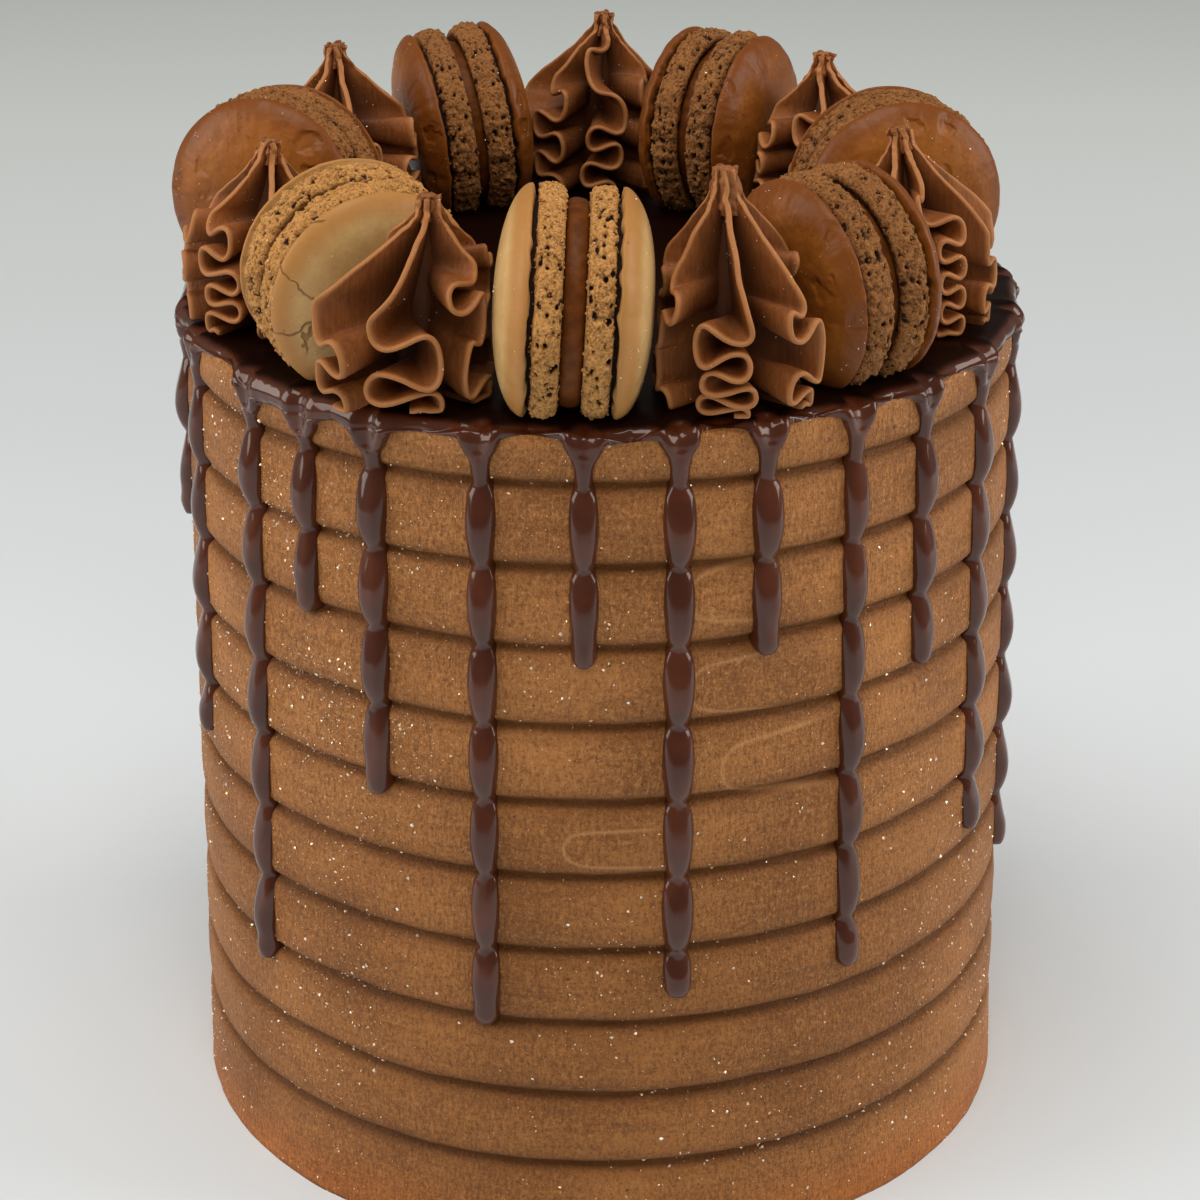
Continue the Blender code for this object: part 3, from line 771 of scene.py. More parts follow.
@dataclass
class CakeBody:
    """The cake in its buttercream: gently bulging bands with a narrow groove between each two."""

    height: float = 165.0 * MM
    rim_radius: float = 80.0 * MM
    base_radius: float = 82.7 * MM
    rim_round: float = 1.7 * MM
    groove_count: int = 10
    first_drop: float = 9.5 * MM
    pitch: float = 15.22 * MM
    groove_depth: float = 1.55 * MM
    groove_half_width: float = 2.1 * MM
    bulge: float = 0.45 * MM
    unevenness: float = 0.55 * MM
    columns: int = 400
    rows: int = 214
    rim_rows: int = 5
    gathering: float = 0.62
    base_fade: float = 8.0 * MM
    rim_fade: float = 4.0 * MM

    def crest(self, height: Any) -> Any:
        """Return the radius of the bands' crests at a height."""
        return self.rim_radius + (self.base_radius - self.rim_radius) * (1.0 - height / self.height)

    def tree(self, material: bpy.types.Material) -> Geometry:
        """Return the tree that turns a plain cylinder into the ribbed body.

        Args:
            material: The buttercream.

        Returns:
            The tree, whose inputs are the body's sizes in metres.
        """
        made = Geometry("ribbed_body", {
            "Height": self.height,
            "Rim Radius": self.rim_radius,
            "Base Radius": self.base_radius,
            "Rim Round": self.rim_round,
            "First Drop": self.first_drop,
            "Pitch": self.pitch,
            "Groove Depth": self.groove_depth,
            "Groove Half Width": self.groove_half_width,
            "Bulge": self.bulge,
            "Unevenness": self.unevenness,
            "Columns": self.columns,
            "Rows": self.rows,
        })
        get = made.given
        drum = made.node(
            "GeometryNodeMeshCylinder",
            {"fill_type": "TRIANGLE_FAN"},
            {"Vertices": get("Columns"), "Side Segments": get("Rows"), "Radius": 1.0, "Depth": 1.0},
        )
        spot = made.node("GeometryNodeInputPosition")
        x, y, z = made.split(spot)
        split = 1.0 - self.rim_rows / self.rows
        up = z + 0.5
        climb = (up / split).at_most(1.0) * (get("Height") - get("Rim Round"))
        arc = ((up - split) / (1.0 - split)).at_least(0.0) * QUARTER_TURN
        count = (get("Height") - get("First Drop") - climb) / get("Pitch")
        window = (climb / self.base_fade).at_most(1.0)
        window = window * ((get("Height") - get("Rim Round") - climb) / self.rim_fade).at_most(1.0)
        wave = (count * FULL_TURN).sine() * window
        climb = climb + wave * (get("Pitch") * (self.gathering / FULL_TURN))
        count = (get("Height") - get("First Drop") - climb) / get("Pitch")
        level = climb + arc.sine() * get("Rim Round")
        rounding = get("Rim Round") * (1.0 - (1.0 - arc.sine() ** 2.0).at_least(0.0).root())

        ring = made.join(x * 2.2, y * 2.2, up * 3.5)
        fine = made.join(x * 9.0, y * 9.0, up * 42.0)
        drift = (made.noise(ring, 1.0, 2.0) - 0.5) * 0.10
        wavy = count + drift + (made.noise(fine, 1.0, 1.0) - 0.5) * 0.05
        which = wavy.nearest().at_least(0.0).at_most(float(self.groove_count - 1))
        away = (wavy - which).size() * get("Pitch")
        notch = 1.0 - away.ramp(0.0, get("Groove Half Width"))
        notch = notch * (0.35 + 0.65 * notch)
        within = (wavy - which).size().at_most(0.5) * 2.0
        swell = (within * QUARTER_TURN).sine() - 1.0
        lip = away.bell(2.9 * MM, 0.32 * MM) * made.noise(ring, 2.3, 1.0).ramp(0.5, 0.62)
        rough = (made.noise(fine, 1.0, 3.0) - 0.5) + (made.noise(ring, 2.6, 2.0) - 0.5) * 1.3

        share = 1.0 - level / get("Height")
        reach = get("Rim Radius") + (get("Base Radius") - get("Rim Radius")) * share
        reach = reach - rounding - notch * get("Groove Depth") + swell * get("Bulge")
        reach = reach + lip * (0.16 * MM) + rough * get("Unevenness") - 0.25 * MM
        moved = made.join(x * reach, y * reach, level)
        stored = drum
        # The stored groove and shade marks are read by the buttercream finish as painted shade in and
        # beside the grooves.
        for name, number in (("groove", notch), ("shade", 1.0 - away.ramp(0.3 * MM, 4.6 * MM))):
            stored = made.node(
                "GeometryNodeStoreNamedAttribute",
                {"data_type": "FLOAT", "domain": "POINT"},
                {"Geometry": stored, "Name": name, "Value": number},
            )
        placed = made.node("GeometryNodeSetPosition", None, {"Geometry": stored, "Position": moved})
        smooth = made.node("GeometryNodeSetShadeSmooth", None, {0: placed})
        made.close(smooth, material)
        return made

    def build(self, finish: ButtercreamFinish) -> bpy.types.Object:
        """Make the body and keep its radii, which the drips follow."""
        blank = make_object("body_blank", [(0.0, 0.0, 0.0)], [])
        body = self.tree(finish.material()).run(blank, "cake_buttercream")
        bpy.data.objects.remove(blank)
        self._read(body)
        return body

    def _read(self, body: bpy.types.Object) -> None:
        """Tabulate the body's radius by row and column."""
        points = np.zeros(len(body.data.vertices) * 3)
        body.data.vertices.foreach_get("co", points)
        points = points.reshape(-1, 3)
        reach = np.hypot(points[:, 0], points[:, 1])
        points = points[reach > self.rim_radius / 2.0]
        reach = reach[reach > self.rim_radius / 2.0]
        turn = np.arctan2(points[:, 1], points[:, 0]) % FULL_TURN
        column = np.rint(turn / FULL_TURN * self.columns).astype(int) % self.columns
        levels, row = np.unique(np.round(points[:, 2], 7), return_inverse=True)
        self.levels = levels
        self.reaches = np.zeros((len(levels), self.columns))
        self.reaches[row, column] = reach

    def radius_at(self, turn: np.ndarray, level: np.ndarray) -> np.ndarray:
        """Return the body's radius at angles from +X and heights."""
        across = (np.asarray(turn) / FULL_TURN * self.columns) % self.columns
        column = np.floor(across).astype(int)
        share = across - column
        after = (column + 1) % self.columns
        column = column % self.columns
        row = np.clip(np.searchsorted(self.levels, level) - 1, 0, len(self.levels) - 2)
        low, high = self.levels[row], self.levels[row + 1]
        rise = np.clip((level - low) / (high - low), 0.0, 1.0)
        lower = self.reaches[row, column] * (1.0 - share) + self.reaches[row, after] * share
        upper = self.reaches[row + 1, column] * (1.0 - share) + self.reaches[row + 1, after] * share
        return lower * (1.0 - rise) + upper * rise


# The poured chocolate


@dataclass
class Drip:
    """One drip: its angle from +X in radians, its length below the rim, and the room on each side."""

    turn: float
    length: float
    before: float = 0.0
    after: float = 0.0
    seed: int = 0


@dataclass
class PouredChocolate:
    """The pool on top and the drips that leave it over the rim, as one skin that follows the cake."""

    body: CakeBody
    front: tuple[tuple[float, float], ...] = (
        (-82, 42), (-70, 81), (-52, 119), (-41, 41), (-30, 73), (-15, 117), (-2, 43),
        (10, 110), (21.5, 43), (34.5, 111), (47, 54), (61.5, 97), (79, 113),
    )
    back_count: int = 12
    back_left_length: float = 157.0
    back_lengths: tuple[float, float] = (38.0, 122.0)
    back_seed: int = 11
    azimuth_drift: float = 1.5
    pool_top: float = 2.1
    pool_rings: tuple[float, ...] = (14.0, 28.0, 42.0, 54.0, 62.0, 67.0)
    inner_radius: float = 70.0
    steps: int = 20
    neck: float = 1.9
    bead: float = 2.8
    bulb: float = 2.5
    bulb_way: tuple[float, float] = (3.0, 7.5)
    lip_width: float = 2.2
    narrowing: float = 1.9
    row_gap: float = 0.76
    back_depth: float = 0.55
    funnel: tuple[tuple[float, float], ...] = (
        (-3.0, 4.3), (0.0, 4.1), (1.5, 3.7), (3.0, 2.9), (4.5, 2.1), (6.2, 1.75), (9.5, 1.7),
    )
    sag: tuple[tuple[float, float], ...] = (
        (-180, 1.2), (-150, 2.2), (-120, 0.6), (-90, 1.8), (-70, 0.8), (-58, 0.0), (-47, 3.3), (-35, 2.6),
        (-22, 1.2), (-9, -0.6), (3, 1.1), (15, -1.4), (27, -0.2), (40, 0.6), (52, 0.0), (70, 1.6),
        (90, 0.5), (115, 2.0), (140, 0.8), (180, 1.2),
    )

    def drips(self) -> list[Drip]:
        """Return the drips in order round the cake, with the room that each one has."""
        placed = [(float(azimuth), float(length)) for azimuth, length in self.front]
        draw = random.Random(self.back_seed)
        first = self.front[-1][0]
        spread = 360.0 + self.front[0][0] - first
        for index in range(self.back_count):
            azimuth = first + spread * (index + 1) / (self.back_count + 1)
            azimuth += draw.uniform(-self.azimuth_drift, self.azimuth_drift)
            placed.append((azimuth, draw.uniform(*self.back_lengths)))
        placed[-2] = (placed[-2][0], self.back_left_length)
        found = [
            Drip(math.radians(azimuth - 90.0), length, seed=index)
            for index, (azimuth, length) in enumerate(placed)
        ]
        for index, drip in enumerate(found):
            following = found[(index + 1) % len(found)]
            gap = (following.turn - drip.turn) % FULL_TURN
            drip.after = gap / 2.0
            following.before = gap / 2.0
        return found

    def build(self, finish: ChocolateFinish) -> bpy.types.Object:
        """Make the pool, its lip and all the drips."""
        body = self.body
        flat = (body.rim_radius - body.rim_round) / MM
        self.edge = flat - self.inner_radius
        self.round = body.rim_round / MM
        self.over = self.edge + self.round * QUARTER_TURN
        self.lip = self.edge + 0.9
        self.noise = Noise(5)
        self.first_backs: list[int] = []
        drips = self.drips()
        rows = [*np.arange(0.0, self.edge - 1.5, 1.3), *np.arange(self.edge - 1.5, self.lip, 0.4), self.lip]
        points = [np.array([[0.0, 0.0, (body.height / MM + self.pool_top)]])]
        ring = len(drips) * self.steps
        for radius in self.pool_rings:
            turns = np.concatenate([self._turns(drip, self.lip - 9.0, False) for drip in drips])
            points.append(self._flat(turns, radius))
        for way in rows:
            points.append(np.concatenate([self._row(drip, way, False) for drip in drips]))
        count = len(self.pool_rings) + len(rows)
        faces: list[tuple[int, ...]] = [(0, 1 + (j + 1) % ring, 1 + j) for j in range(ring)]
        faces += strips(count, ring, 1, True)
        rim = 1 + (count - 1) * ring
        total = 1 + count * ring
        for index, drip in enumerate(drips):
            start = [rim + (index * self.steps + j) % ring for j in range(self.steps + 1)]
            added, made = self._drip(drip, start, total)
            points.append(added)
            faces += made
            total += len(added)
        back, made = self._back(len(drips), rim, ring, total)
        points.append(back)
        faces += made
        skin = np.concatenate(points) * MM
        return make_object("poured_chocolate", skin, faces, finish.material())

    def _back(self, count: int, rim: int, ring: int, first: int) -> tuple[np.ndarray, list]:
        """Close the pool underneath by a fan from its middle to the start of each drip's back."""
        level = self.body.height / MM + 0.15
        faces = []
        for index in range(count):
            here = rim + index * self.steps
            after = rim + (index + 1) * self.steps % ring
            middle = self.first_backs[index]
            faces.append((first, here, middle))
            faces.append((first, middle, after))
        return np.array([[0.0, 0.0, level]]), faces

    def _columns(self, drip: Drip, way: float, whole: bool) -> tuple[np.ndarray, np.ndarray, float]:
        """Return a row's places across the sector, sideways millimetres, and half widths."""
        steps = np.arange(self.steps + (1 if whole else 0))
        across = np.sin((steps / self.steps * 2.0 - 1.0) * QUARTER_TURN)
        gather = 0.42 + 0.58 * float(smooth_step(self.lip, self.lip + 1.6, way))
        shaped = across * gather + across**3 * (1.0 - gather)
        rim = self.body.rim_radius / MM
        room = np.where(across < 0.0, drip.before, drip.after) * rim
        width = self._half_width(drip, way, room)
        return across, shaped * width, width

    def _half_width(self, drip: Drip, way: float, room: Any) -> Any:
        """Return the half width of the chocolate at a way from the inner ring."""
        if way <= self.lip:
            return room
        narrow = self._drip_width(drip, way)
        left = max(0.0, 1.0 - (way - self.lip) / self.narrowing) ** 2.4
        return narrow + (room - narrow) * left

    def _drip_width(self, drip: Drip, way: float) -> float:
        """Return the half width of a drip: a funnel, then beads between the grooves, then a bulb."""
        drop = self._drop(way)
        beaded = self.neck + (self.bead - self.neck) * self._beading(drip, drop, 0.80)
        funnel = float(np.interp(drop, *zip(*self.funnel)))
        first = self.body.first_drop / MM
        width = funnel if drop < first else beaded
        left = drip.length - drop
        width = width + (self.bulb - width) * float(1.0 - smooth_step(*self.bulb_way, left))
        size = 0.93 + 0.14 * random.Random(drip.seed + 70).random()
        end = max(0.02, 1.0 - max(0.0, 1.0 - left / 2.6) ** 2) ** 0.5
        return width * end * size

    def _beading(self, drip: Drip, drop: float, hang: float) -> float:
        """Return 0 in a groove and up to 1 in the band below it, the lower the more it hangs."""
        count = (drop - self.body.first_drop / MM) / (self.body.pitch / MM)
        if count <= 0.0:
            return 0.0
        band = int(count)
        share = count - band
        swell = 0.82 + 0.3 * random.Random(drip.seed * 31 + band).random()
        if band >= self.body.groove_count - 1 and share > 0.35:
            return swell
        return swell * math.sin(math.pi * share**hang) ** 0.85

    def _drop(self, way: float) -> float:
        """Return how far below the rim a way from the inner ring lies."""
        if way <= self.edge:
            return way - self.edge
        if way <= self.over:
            return self.round * (1.0 - math.cos((way - self.edge) / self.round))
        return self.round + way - self.over

    def _proud(self, drip: Drip, way: float) -> float:
        """Return how far the middle of the chocolate stands out from the bands' crests."""
        drop = self._drop(way)
        first = self.body.first_drop / MM
        if drop < first:
            ways = (-60.0, -4.5, -1.5, 0.0, 1.5, 3.5, 6.0, first)
            return float(np.interp(drop, ways, (2.1, 2.1, 1.75, 1.35, 1.45, 1.6, 1.0, 0.45)))
        proud = 0.45 + 1.75 * self._beading(drip, drop, 1.40)
        return proud + (2.0 - proud) * float(1.0 - smooth_step(*self.bulb_way, drip.length - drop))

    def _turns(self, drip: Drip, way: float, whole: bool) -> np.ndarray:
        """Return a row's angles from +X."""
        _, sideways, _ = self._columns(drip, way, whole)
        return drip.turn + sideways / (self.body.rim_radius / MM)

    def _flat(self, turns: np.ndarray, radius: float) -> np.ndarray:
        """Return a ring of the pool's upper surface."""
        spots = ring_points(turns, radius, 0.0)
        spots[:, 2] = self.body.height / MM + self.pool_top + 0.12 * self.noise.layered(spots / 9.0)
        return spots

    def _row(self, drip: Drip, way: float, whole: bool, sunk: Optional[float] = None) -> np.ndarray:
        """Return one row of a sector's skin.

        Args:
            drip: The sector's drip.
            way: The distance from the inner ring, along the top and then down the side.
            whole: Whether the row holds the point that the next sector starts with.
            sunk: For the hidden back, how far it lies under the cake's surface.

        Returns:
            The row's points in millimetres.
        """
        body = self.body
        _, sideways, width = self._columns(drip, way, whole)
        turns = drip.turn + sideways / (body.rim_radius / MM)
        if sunk is not None:
            turns = np.array([drip.turn])
        ripple = ring_points(turns, 14.0, 0.0)
        window = self._window(way, 3.0, 0.5, 8.0)
        azimuth = (np.degrees(turns) + 270.0) % 360.0 - 180.0
        sag = np.interp(azimuth, *zip(*self.sag))
        shift = window * (0.6 * self.noise.layered(ripple, 2) + sag)
        if sunk is not None:
            shift = shift * 0.0
        ways = way + shift
        drops = np.array([self._drop(one) for one in ways])
        slope = np.clip((ways - self.edge) / self.round, 0.0, QUARTER_TURN)
        level = body.height / MM - np.maximum(drops, 0.0)
        crest = np.where(
            ways <= self.edge,
            self.inner_radius + ways,
            (body.rim_radius - body.rim_round) / MM + self.round * np.sin(slope),
        )
        below = ways > self.over
        crest = np.where(below, body.crest(level * MM) / MM, crest)
        sample = np.minimum(level, (body.height - body.rim_round) / MM)
        real = body.radius_at(turns, sample * MM) / MM - body.crest(sample * MM) / MM
        under = np.where(below, real, real * np.sin(slope)) - 0.18
        if sunk is not None:
            offset = under - sunk
        else:
            inside = self._inside(drip, way, sideways, width)
            proud = self._proud(drip, way) + self._funnel(way, sideways)
            offset = under + (proud - under) * inside
        reach = crest + offset * np.sin(slope)
        height = level + offset * np.cos(slope)
        return ring_points(turns, reach, height)

    def _window(self, way: float, before: float, start: float, end: float) -> float:
        """Return 1 round the rim: it rises before the edge, and falls from a start to an end past it."""
        rise = smooth_step(self.edge - before, self.edge, way)
        return float(rise - smooth_step(self.over + start, self.over + end, way))

    def _inside(self, drip: Drip, way: float, sideways: np.ndarray, width: Any) -> np.ndarray:
        """Return 0 at the chocolate's edge and 1 well inside it, as a rounded edge."""
        lip_way = self.lip + self.narrowing
        narrow = self._drip_width(drip, max(way, lip_way))
        distance = np.abs(sideways)
        room = np.maximum(width, narrow + 0.1)
        share = np.clip((distance - narrow) / np.maximum(room - narrow, 0.1), 0.0, 1.0)
        edge = lip_way - self.narrowing * share ** (1.0 / 2.4)
        down = np.where(distance > narrow, edge - way, lip_way - way + 3.0 * (narrow - distance))
        if way > lip_way:
            down = np.full(len(sideways), 99.0)
        down = np.minimum(down, drip.length - self._drop(way))
        side = np.where(way <= self.lip, 99.0, width - distance)
        down = np.maximum(down, 1e-4)
        side = np.maximum(side, 1e-4)
        gap = down * side / np.hypot(down, side)
        radius = min(self.lip_width, max(narrow, 0.3)) if way > self.lip else self.lip_width
        share = np.clip(gap / radius, 0.0, 1.0)
        return np.sqrt(1.0 - (1.0 - share) ** 2)

    def _funnel(self, way: float, sideways: np.ndarray) -> np.ndarray:
        """Return the hollow in the mouth of a drip and the raised lips beside it."""
        window = self._window(way, 4.0, 1.0, 4.5)
        hollow = np.exp(-((sideways / 1.5) ** 2))
        lips = np.exp(-(((np.abs(sideways) - 2.9) / 0.95) ** 2))
        return window * (0.45 * lips - 0.85 * hollow)

    def _drip(self, drip: Drip, start: list[int], first: int) -> tuple[np.ndarray, list]:
        """Return a drip's points and faces, joined to the rim by the numbers in start."""
        last = self.over + drip.length - self.round
        ways = list(np.arange(self.lip + 0.28, self.over + 5.0, 0.3))
        ways += list(np.arange(ways[-1] + 0.72, last - 2.6, self.row_gap))
        ways += [last - 2.6 * (1.0 - math.sin(step * math.pi / 12.0)) for step in range(6)]
        ways.append(last - 0.04)
        rows = [self._row(drip, way, True) for way in ways]
        backs = [self._row(drip, way, True, self.back_depth) for way in [self.lip + 0.1, *ways]]
        wide = self.steps + 1
        points = np.concatenate([*rows, *backs])
        faces = []
        for j in range(self.steps):
            faces.append((start[j], start[j + 1], first + j + 1, first + j))
        faces += strips(len(rows), wide, first)
        back = first + len(rows) * wide
        self.first_backs.append(back)
        left = [start[0]] + [first + row * wide for row in range(len(rows))]
        right = [start[-1]] + [first + row * wide + self.steps for row in range(len(rows))]
        for row in range(len(rows)):
            faces.append((left[row], left[row + 1], back + row + 1, back + row))
            faces.append((back + row, back + row + 1, right[row + 1], right[row]))
        tip = first + (len(rows) - 1) * wide
        faces.append(tuple([tip + j for j in range(wide)] + [back + len(rows)]))
        return points, faces


# The macarons


@dataclass(frozen=True)
class MacaronPlace:
    """Where a macaron stands: the same numbers as the part's own."""

    ring_radius: float
    azimuth: float
    heading: float
    lean: float
    diameter: float

    def frame(self, top: float, sink: float) -> Matrix:
        """Return the matrix from the macaron's own axes, in metres at nominal size, to its place."""
        turn = math.radians(self.azimuth)
        centre = Vector((
            self.ring_radius * MM * math.cos(turn),
            self.ring_radius * MM * math.sin(turn),
            top + self.diameter * MM / 2.0 - sink,
        ))
        lean, heading = math.radians(self.lean), math.radians(self.heading)
        axis = Vector((
            math.cos(lean) * math.cos(heading), math.cos(lean) * math.sin(heading), math.sin(lean)
        ))
        turned = axis.to_track_quat("Z", "Y").to_matrix().to_4x4()
        return Matrix.Translation(centre) @ turned @ Matrix.Scale(self.diameter / MACARON_SIZE, 4)


@dataclass
class Macarons:
    """Seven macarons on edge: two shells each, with a porous foot, and a filling between them."""

    top: float = 167.1 * MM
    floor: float = 167.42 * MM
    sink: float = 3.4 * MM
    columns: int = 320
    filling_columns: int = 128
    crumb_density: float = 520000.0
    places: tuple[MacaronPlace, ...] = (
        MacaronPlace(65.6, -93.9, 0.0, -3.0, 41.2),
        MacaronPlace(64.1, -49.3, -147.0, -4.0, 39.4),
        MacaronPlace(56.9, 5.1, -80.0, 3.0, 38.6),
        MacaronPlace(57.6, 64.5, -28.0, 0.0, 39.0),
        MacaronPlace(62.7, 117.0, -165.0, -7.0, 39.0),
        MacaronPlace(62.7, 172.5, -108.0, 4.0, 38.4),
        MacaronPlace(63.5, -132.8, -64.0, -8.0, 39.0),
    )
    tan: tuple[int, ...] = (0, 6)
    cracked: int = 6
    open_gap: int = 0
    lap: float = 1.0
    dome: tuple[tuple[float, float], ...] = ((0.0, 13.55), (10.0, 12.7), (16.5, 10.5), (19.8, 7.8))

    def outline(self, lap: float) -> tuple[np.ndarray, np.ndarray]:
        """Return a shell's outline as (radius, height) in millimetres, and 1 on its foot.

        Args:
            lap: How far the foot leans over the filling, in millimetres.

        Returns:
            The outline from the dome's top to the foot's flat face, and the foot's marks.
        """
        spread = np.sin(np.linspace(0.0, 1.0, 24)[1:] * QUARTER_TURN)
        reach = 19.75 * spread
        rise = 7.90 + 5.65 * np.maximum(0.0, 1.0 - (reach / 19.75) ** 2.35) ** 0.60
        rows = list(zip(reach, rise, np.zeros(len(reach))))
        rows += [(19.72, 7.72, 0.0), (19.45, 7.50, 0.1), (18.6, 7.36, 0.4)]
        rows += [(17.1, 7.25, 0.7), (17.0, 6.60, 0.8)]
        for share in np.linspace(0.0, 1.0, 20):
            bulge = math.sin(math.pi * min(1.0, max(0.0, share * 0.84 + 0.10))) ** 0.5
            rows.append((17.95 + 1.75 * bulge, 6.45 - (4.25 + lap) * share, 1.0))
        rows += [(17.9, 2.02 - lap, 1.0), (17.3, 1.96, 1.0), (12.0, 1.95, 1.0)]
        table = np.array(rows)
        return table[:, :2], table[:, 2]

    def shell(self, number: int, side: int, material: bpy.types.Material) -> bpy.types.Object:
        """Make one shell.

        Args:
            number: The macaron's number, from 0.
            side: 1 for the shell on its axis's own side, and -1 for the other.
            material: The shell's finish.

        Returns:
            The shell with its crumbs as one mesh.
        """
        place = self.places[number]
        outline, foot = self.outline(0.0 if number == self.open_gap else self.lap)
        turns = ring_turns(self.columns)
        noise = Noise(100 + number * 2 + (side > 0))
        reach = np.repeat(outline[:, 0], self.columns)
        rise = np.repeat(outline[:, 1], self.columns)
        feet = np.repeat(foot, self.columns)
        turn = np.tile(turns, len(outline))
        flat = ring_points(turn, reach, rise)

        out = smooth_step(0.45, 1.0, feet) * smooth_step(16.8, 18.2, reach)
        lumps = 0.6 * noise.lumps(flat / 1.7) + 0.4 * noise.lumps(flat / 0.8 + 9.0)
        holes = noise.lumps(flat / np.array([1.9, 1.9, 1.3]) + 31.0)
        bent = holes + 0.22 * noise.layered(flat / 0.7 + 3.0, 2)
        pitted = 1.0 - smooth_step(0.08, 0.40, bent)
        rough = noise.layered(flat / 0.9, 3)
        ragged = noise.layered(ring_points(turn, 9.0, 0.0), 3)
        push = out * (0.75 - 1.15 * lumps + 0.42 * rough - 1.15 * pitted + 0.40 * ragged)
        slump = noise.layered(flat / 14.0, 2)
        dome = 1.0 - smooth_step(0.0, 0.6, feet)
        grown = flat * (1.0 + 0.012 * slump[:, None] * dome[:, None])
        grown += ring_points(turn, 1.0, 0.0) * push[:, None]
        crevice = smooth_step(0.05, 0.5, feet) * (1.0 - smooth_step(0.82, 1.0, feet))
        grown[:, 2] += crevice * 0.50 * ragged + out * 0.12 * rough
        grown[:, 2] += smooth_step(0.5, 1.0, reach / 19.8) * dome * 0.22 * ragged
        # The depth mark is read by the shell finish as painted shade in the foot's pushed-in places and the
        # crevice.
        depth = np.clip(-push * 1.1 + 0.12, 0.0, 1.0) * out + crevice * 0.85
        edge = smooth_step(0.62, 1.0, reach / 19.75) * dome

        tips = np.array([[0.0, 0.0, 13.55], [0.0, 0.0, 1.95]])
        points = np.concatenate([grown, tips])
        points[:, 2] *= side
        faces = closed_column(len(outline), self.columns)
        crumbs = out * (1.0 - pitted) * smooth_step(1.1, 1.5, np.abs(grown[:, 2]))
        marks = {
            "foot": np.append(feet, (0.0, 1.0)),
            "depth": np.append(depth, (0.0, 0.6)),
            "edge": np.append(edge, (0.0, 0.0)),
            "crumbs": np.append(crumbs, (0.0, 0.0)),
        }
        label = "near" if side > 0 else "far"
        placed = self._placed(points, place)
        bare = make_object(f"shell_blank_{number}_{label}", placed, faces, material, marks)
        crumbed = self._crumbs(material, number * 2 + (side > 0))
        dressed = crumbed.run(bare, f"macaron_{number + 1}_{label}_shell")
        bpy.data.objects.remove(bare)
        return dressed

    def _placed(self, points: np.ndarray, place: MacaronPlace) -> np.ndarray:
        """Return points in the part's frame, flattened where the macaron presses on the pool."""
        matrix = np.array(place.frame(self.top, self.sink))
        placed = points * MM @ matrix[:3, :3].T + matrix[:3, 3]
        placed[:, 2] = np.maximum(placed[:, 2], self.floor)
        return placed

    def _crumbs(self, material: bpy.types.Material, seed: int) -> Geometry:
        """Return the tree that scatters crumbs over a shell's foot and joins them to it."""
        made = Geometry("foot_crumbs", {
            "Density": self.crumb_density,
            "Smallest": 0.14 * MM,
            "Largest": 0.50 * MM,
            "Seed": seed,
        })
        wanted = made.node("GeometryNodeInputNamedAttribute", {"data_type": "FLOAT"}, {"Name": "crumbs"})
        crumb = made.node("GeometryNodeMeshIcoSphere", None, {"Radius": 1.0, "Subdivisions": 1})
        crumb = made.node("GeometryNodeSetShadeSmooth", None, {0: crumb})
        size = made.lot(made.given("Smallest"), made.given("Largest"))
        scattered = made.scatter(crumb, wanted * made.given("Density"), size, (1.0, 0.8, 0.65))
        marked = made.node("GeometryNodeRealizeInstances", None, {0: scattered})
        for name, number in (("foot", 1.0), ("depth", 0.0), ("edge", 0.0)):
            marked = made.node(
                "GeometryNodeStoreNamedAttribute",
                {"data_type": "FLOAT", "domain": "POINT"},
                {"Geometry": marked, "Name": name, "Value": number},
            )
        both = made.node("GeometryNodeJoinGeometry")
        made.tree.links.new(marked.socket, both.socket.node.inputs[0])
        made.tree.links.new(made.given("Geometry").socket, both.socket.node.inputs[0])
        made.close(both, material)
        return made

    def filling(self, number: int, material: bpy.types.Material) -> bpy.types.Object:
        """Make the filling of a macaron as a disc with a softly rounded, slightly uneven side."""
        turns = ring_turns(self.filling_columns)
        noise = Noise(300 + number)
        inset = 0.0 if number == self.open_gap else 0.6
        half = [(16.4 - inset, 1.88), (17.0 - inset, 1.70), (17.4 - inset, 1.25), (17.55 - inset, 0.6)]
        outline = [*half, (17.6 - inset, 0.0), *[(reach, -rise) for reach, rise in reversed(half)]]
        rows = []
        for reach, rise in outline:
            spots = ring_points(turns, reach, rise)
            swell = 0.012 * noise.layered(spots / 5.0)[:, None] * np.array([1.0, 1.0, 0.0])
            rows.append(spots * (1.0 + swell))
        points = np.concatenate([*rows, [[0.0, 0.0, 1.88], [0.0, 0.0, -1.88]]])
        faces = closed_column(len(outline), self.filling_columns)
        placed = self._placed(points, self.places[number])
        return make_object(f"macaron_{number + 1}_cream", placed, faces, material)

    def reach_of(self, across: np.ndarray) -> np.ndarray:
        """Return how far a macaron reaches from its middle plane at a radius, in millimetres."""
        radii = [point[0] for point in self.dome]
        heights = [point[1] for point in self.dome]
        return np.interp(across, radii, heights, right=0.0)

    def covers(self, points: np.ndarray, margin: float) -> np.ndarray:
        """Tell which points, in metres, lie in a macaron or within a margin of one."""
        found = np.zeros(len(points), bool)
        for place in self.places:
            matrix = np.array(place.frame(self.top, self.sink).inverted())
            local = (points @ matrix[:3, :3].T + matrix[:3, 3]) / MM
            across = np.hypot(local[:, 0], local[:, 1])
            room = margin * MACARON_SIZE / place.diameter
            near = np.abs(local[:, 2]) < self.reach_of(np.maximum(0.0, across - room)) + room
            found |= near & (across < 20.0 + room)
        return found


# The piped swirls


Turn = tuple[float, float, float]


@dataclass(frozen=True)
class Fin:
    """One fin of a swirl: its spread as a share of the swirl's, and the turns of its edge.

    A turn is its share of the way down, its millimetres sideways and the height of its bend.
    """

    spread: float
    turns: tuple[Turn, ...]


